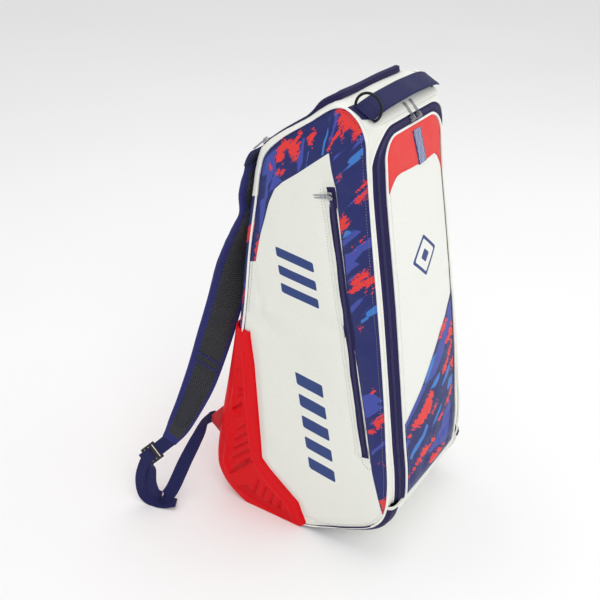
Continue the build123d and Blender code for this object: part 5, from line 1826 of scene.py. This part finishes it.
# ladder lock under the near strap: centre, direction down the webbing, width direction
LOCK = np.array([-231.0, 203, 107])
LOCK_DOWN = unit(np.array([-.37, .64, -.67]))
LOCK_ACROSS = unit(np.array([0, -.72, -.69]))
LOCK_NORMAL = np.cross(LOCK_ACROSS, LOCK_DOWN)

# near webbing stations: centre x, y, z; width direction x, y, z
LOWER_WEB = np.array([
    (-121, 138, 149, -.1, .2, -.97), (-130, 148, 146, -.05, .1, -.97),
    (-143, 151, 143, .35, -.3, -.85), (-158, 154, 122, .78, -.6, -.05),
    (-190, 163, 78, .7, -.6, .3), (-222, 174, 26, .6, -.75, .2),
    (-232, 182, 14, .5, -.85, 0), (-239, 198, 22, .4, -.9, -.2),
    (-240, 206, 48, .3, -.9, -.3), (-236, 207, 78, .1, -.8, -.55),
    (-236.5, 209, 88, 0, -.72, -.69)])
TAIL_WEB = np.array([
    (-238, 213, 92, 0, -.72, -.69), (-240, 217, 84, .1, -.85, -.4),
    (-248, 223, 50, .3, -.9, -.2), (-250, 217, 18, .5, -.8, .2),
    (-245, 201, 6, .8, -.3, .5), (-238, 178, 5, .9, .2, .3), (-228, 158, 9, .9, .4, .1)])
# webbing through the ladder lock: distance along LOCK_DOWN, distance along LOCK_NORMAL
LOCK_PATH = np.array([(22, -1), (14, 0.5), (10, 4.2), (4.6, 4.6), (0.5, 0.5), (-1.5, -4.4),
                      (4, -5.4), (12, -5.0), (22, -5)])


def strap_grids():
    """Outer and inner faces of the near pad, and the columns' place across it."""
    run = strap_run[:, None]
    taper = (np.clip(np.minimum(run / 26, 1.0), 0.45, 1)
             * np.clip((STRAP_LENGTH - run) / 34, 0.42, 1))
    sag = 1.2 * wrinkles(strap_path, 120, 51) + 0.5 * wrinkles(strap_path, 40, 52)
    crease = 1.8 * hill(run - 84, 6) + 1.2 * hill(run - 300, 9)
    u = np.linspace(-1, 1, STRAP_COLS)
    au = np.abs(u)
    pad = (np.where(au < 0.80, 1.0 - 0.10 * (au / 0.8) ** 4, 1.0)
           * (1 - 0.55 * ramp01((au - 0.80) / 0.2) ** 0.8))
    groove = hill(au - 0.80, 0.035) * 0.28
    end = np.where(au > 0.965,
                   np.sqrt(np.clip(1 - ((au - 0.965) / 0.035) ** 2, 0.05, 1)), 1.0)
    height = 5.6 * taper * np.clip((pad - groove) * end, 0.02, 1)
    cushion = (0.6 * np.sin(run / 21.0 + 0.8 * np.sin(run / 57)) * (1 - au ** 2)
               * (taper > 0.9))
    normal = strap_normal[:, None]
    base = ((strap_path + strap_normal * sag[:, None])[:, None]
            + strap_across[:, None] * (u * strap_width[:, None] / 2)[..., None])
    outer = base + normal * (height + cushion - crease * (1 - 0.3 * au))[..., None]
    return outer, base - normal * (height * 0.95)[..., None], u


pad_outer, pad_inner, pad_u = strap_grids()


def strap_pad(side, flip):
    """The pad: mesh outside, leather inside, binding round the edges; stitched beside it."""
    body = "strap_" + side
    verts, faces, kind = slab_mesh(pad_outer * flip, pad_inner * flip)
    row, column = np.divmod(faces % (STRAP_N * STRAP_COLS), STRAP_COLS)
    first = pad_u[column.min(1)]
    edge = (pad_u[column.max(1)] > 0.83) | (first < np.where(kind == 1, -0.83, -0.62))
    ends = (row.max(1) > STRAP_N - 7) | (row.min(1) < 6)
    uv = grid_uv(pad_outer)
    build("strap_pad_" + side, verts, faces, "mesh white bind",
          face_mats=np.where(edge | ends, 2, kind), uv=np.concatenate([uv, uv]), body=body,
          replaces="shoulder_strap_" + side, slot="black_mesh")
    inner = slice(6, -10)
    normal = strap_normal[inner] * flip
    for column in (5, STRAP_COLS - 6):
        stitch_row(pad_outer[inner, column] * flip, normal, "th_black", long=3.2, gap=1.6,
                   body=body)
        stitch_row(pad_inner[inner, column] * flip, -normal, long=3.2, gap=1.6, body=body)


def strap_seams(side, flip):
    """Two flat tapes sewn slanting over the pad."""
    for place in (382, 396):
        q = np.argmin(np.abs(strap_run - place))
        line = pad_outer[q, 4:STRAP_COLS - 4]
        line = (line + np.linspace(-5, 5, len(line))[:, None] * strap_tangent[q]
                + strap_normal[q] * 0.5)
        sweep("strap_seam_%s_%d" % (side, place), line * flip, strap_tangent[q] * flip,
              flat_section(3.0, 1.3), "bind", body="strap_" + side)


def strap_patch(side, flip):
    """Oval patch low on the pad, with its stitching."""
    body = "strap_" + side
    rows = np.arange(STRAP_N - 52, STRAP_N - 16)
    g = np.linspace(0, 1, len(rows))
    oval = np.sqrt(ramp01(1 - ((g - 0.5) / 0.52) ** 2)) * 0.55
    patch = []
    for row, half in zip(rows, oval):
        u = np.linspace(-half - 0.03, half + 0.03, 12)
        patch.append(along(pad_outer[row], pad_u, u))
    patch = np.array(patch)
    normal = strap_normal[rows]
    slab("strap_patch_" + side, (patch + normal[:, None] * 1.3) * flip,
         (patch - normal[:, None] * 0.5) * flip, "backfab", body=body)
    for column in (1, -2):
        stitch_row((patch[3:-3, column] + normal[3:-3] * 1.2) * flip, normal[3:-3] * flip,
                   "th_black", gap=1.3, body=body)


def strap_root(side, flip):
    """Padded webbing fold from the top corner down onto the pad."""
    g = np.linspace(0, 1, 40)
    x0, x1 = -114, -61
    x = np.linspace(x0, x1, 30)
    stations = [0, 0.25, 0.5, 0.75, 1]
    y = smooth(np.interp(g, stations, [49, 53, 57, 61, 63.5]), 7)
    z = smooth(np.interp(g, stations, [672.5, 668, 661.5, 654, 646.5]), 7)
    grid = xyz(x, y[:, None], z[:, None])
    normal = unit(xyz(0.0, -np.gradient(z), np.gradient(y)))
    normal = np.where(normal[:, 1:2] + normal[:, 2:] < 0, -normal, normal)
    rise = ((2.2 * (1 - hill(np.minimum(x - x0, x1 - x), 2.4, 1.2)))
            * (0.5 + 0.5 * np.sin(np.pi * np.clip(g, 0.02, 0.98)))[:, None]
            + 0.4 * wrinkles(grid, 40, 71))
    outer = grid + normal[:, None] * (rise + 0.6)[..., None]
    slab("strap_root_" + side, outer * flip, (grid - normal[:, None] * 2.2) * flip, "web",
         replaces="strap_anchor_" + side, slot="navy_webbing")
    for line, up in ((outer[5, 2:-2], normal[5]), (outer[34, 2:-2], normal[34]),
                     (outer[4:-4, 2], normal[4:-4])):
        stitch_row(line * flip, up * flip, long=2.6, gap=1.3)


def strap_webbing(side, flip):
    """Loop to the ladder lock, webbing through it, the lower webbing and its loose tail."""
    body = "strap_" + side
    end = STRAP[-1, :3]
    ribbon("strap_loop_web_" + side,
           [end - LOCK_DOWN * 6, end + LOCK_DOWN * 3, LOCK - LOCK_DOWN * 19,
            LOCK - LOCK_DOWN * 14.5], LOCK_ACROSS, width=25.0, thick=3.2, n=60, flip=flip,
           wobble=0.1, body=body, replaces="strap_loop_" + side, slot="navy_webbing")
    ribbon("buckle_threaded_" + side,
           LOCK + LOCK_PATH[:, :1] * LOCK_DOWN + LOCK_PATH[:, 1:] * LOCK_NORMAL, LOCK_ACROSS,
           width=24.0, thick=1.8, n=90, flip=flip, wobble=0.0, body="buckle_" + side)
    start, stop = (Vector((LOWER_WEB[k, :3] * flip * MM).tolist()) for k in (0, -1))
    ribbon("lower_web_" + side, LOWER_WEB[:, :3], LOWER_WEB[:, 3:], width=25.0, thick=1.9,
           n=220, flip=flip, wobble=0.8, seed=61, replaces="lower_webbing_" + side,
           slot="navy_webbing", blend=("bag", body, start, stop))
    path, across, normal = ribbon(
        "tail_web_" + side, TAIL_WEB[:, :3], TAIL_WEB[:, 3:], width=20.0, thick=1.9, n=150,
        flip=flip, wobble=0.6, seed=62, body=body, replaces="webbing_tail_" + side,
        slot="navy_webbing")
    # folded end of the tail
    ribbon("tail_end_" + side, path[-14::3] + normal[-14::3] * 2.0, across[-1], width=20.0,
           thick=1.9, n=24, flip=flip, wobble=0.0, body=body)


for side, flip in SIDES:
    for part in (strap_pad, strap_seams, strap_patch, strap_root, strap_webbing):
        part(side, flip)

# ---------------------------------------------------------------- hard parts from the CAD
# material, bevel width (mm), nodes
HARD_PARTS = (
    ("zinc", 0.35, "pocket_slider lid_slider_near lid_slider_far rear_slider"),
    ("zinc", 0.3, "pocket_puller lid_puller_near lid_puller_far rear_puller"),
    ("plastic", 0.6, "ladder_lock_near ladder_lock_far"),
    ("stiff", 0.5, "back_stiffener base_stiffener"))


def soften(name, mat, bevel):
    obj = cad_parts.get(name)
    # the frame may not hold every part
    if obj is None:
        return
    obj.data.materials.clear()
    obj.data.materials.append(MATS[mat].material)
    modifier = obj.modifiers.new("edge", "BEVEL")
    modifier.width = bevel * MM
    modifier.segments = 2
    modifier.limit_method = "ANGLE"
    modifier.angle_limit = math.radians(35)


for mat, bevel, names in HARD_PARTS:
    for name in names.split():
        soften(name, mat, bevel)

build_stitches()


# ---------------------------------------------------------------- floor, light, camera (m)
def add_floor(half):
    mesh = bpy.data.meshes.new("floor")
    mesh.from_pydata([(-half, -half, 0), (half, -half, 0), (half, half, 0), (-half, half, 0)],
                     [], [(0, 1, 2, 3)])
    floor = bpy.data.objects.new("floor", mesh)
    bpy.context.scene.collection.objects.link(floor)
    mat = Material("floor", (0.97, 0.97, 0.97), rough=0.9, spec=0.1)
    patchy = mat.ramp(mat.noise(mat.position, scale=1.3, detail=2), span=(0.3, 0.7))
    mat.color(mat.mix(patchy, (0.98, 0.98, 0.98), (0.965, 0.965, 0.965)))
    mesh.materials.append(mat.material)


def add_light(name, place, size, power):
    """Square area light aimed at the middle of the bag."""
    light = bpy.data.lights.new(name, "AREA")
    light.shape = "RECTANGLE"
    light.size = light.size_y = size
    light.energy = power
    obj = bpy.data.objects.new(name, light)
    obj.location = place
    aim = Vector((0, 0, 0.4)) - Vector(place)
    obj.rotation_euler = aim.to_track_quat("-Z", "Y").to_euler()
    bpy.context.scene.collection.objects.link(obj)


def add_camera():
    camera = bpy.data.cameras.new("cam")
    camera.lens = 54.0
    camera.sensor_width = camera.sensor_height = 36.0
    camera.sensor_fit = "HORIZONTAL"
    camera.clip_start = 0.05
    camera.clip_end = 60
    obj = bpy.data.objects.new("cam", camera)
    # columns: the camera's right, up and backward directions
    turn = Matrix(((0.5472, 0.4102, -0.7296), (-0.8370, 0.2682, -0.4770),
                   (0.0, 0.8717, 0.4901)))
    place = Vector((-1.1573, -0.7211, 1.1443))
    obj.matrix_world = Matrix.Translation(place) @ turn.to_4x4()
    bpy.context.scene.collection.objects.link(obj)
    bpy.context.scene.camera = obj


add_floor(half=25)
scene = bpy.context.scene
world = bpy.data.worlds.new("world")
world.use_nodes = True
background = world.node_tree.nodes["Background"]
background.inputs["Color"].default_value = (1, 1, 1, 1)
background.inputs["Strength"].default_value = 0.74
scene.world = world
add_light("key", place=(-1.7, -1.9, 2.5), size=1.8, power=20)
add_light("top", place=(0.3, 0.2, 2.9), size=2.4, power=19)
add_light("fill", place=(1.8, -2.0, 1.1), size=1.6, power=8)
scene.view_settings.view_transform = "Standard"
scene.view_settings.look = "None"
scene.view_settings.exposure = 0.0
add_camera()
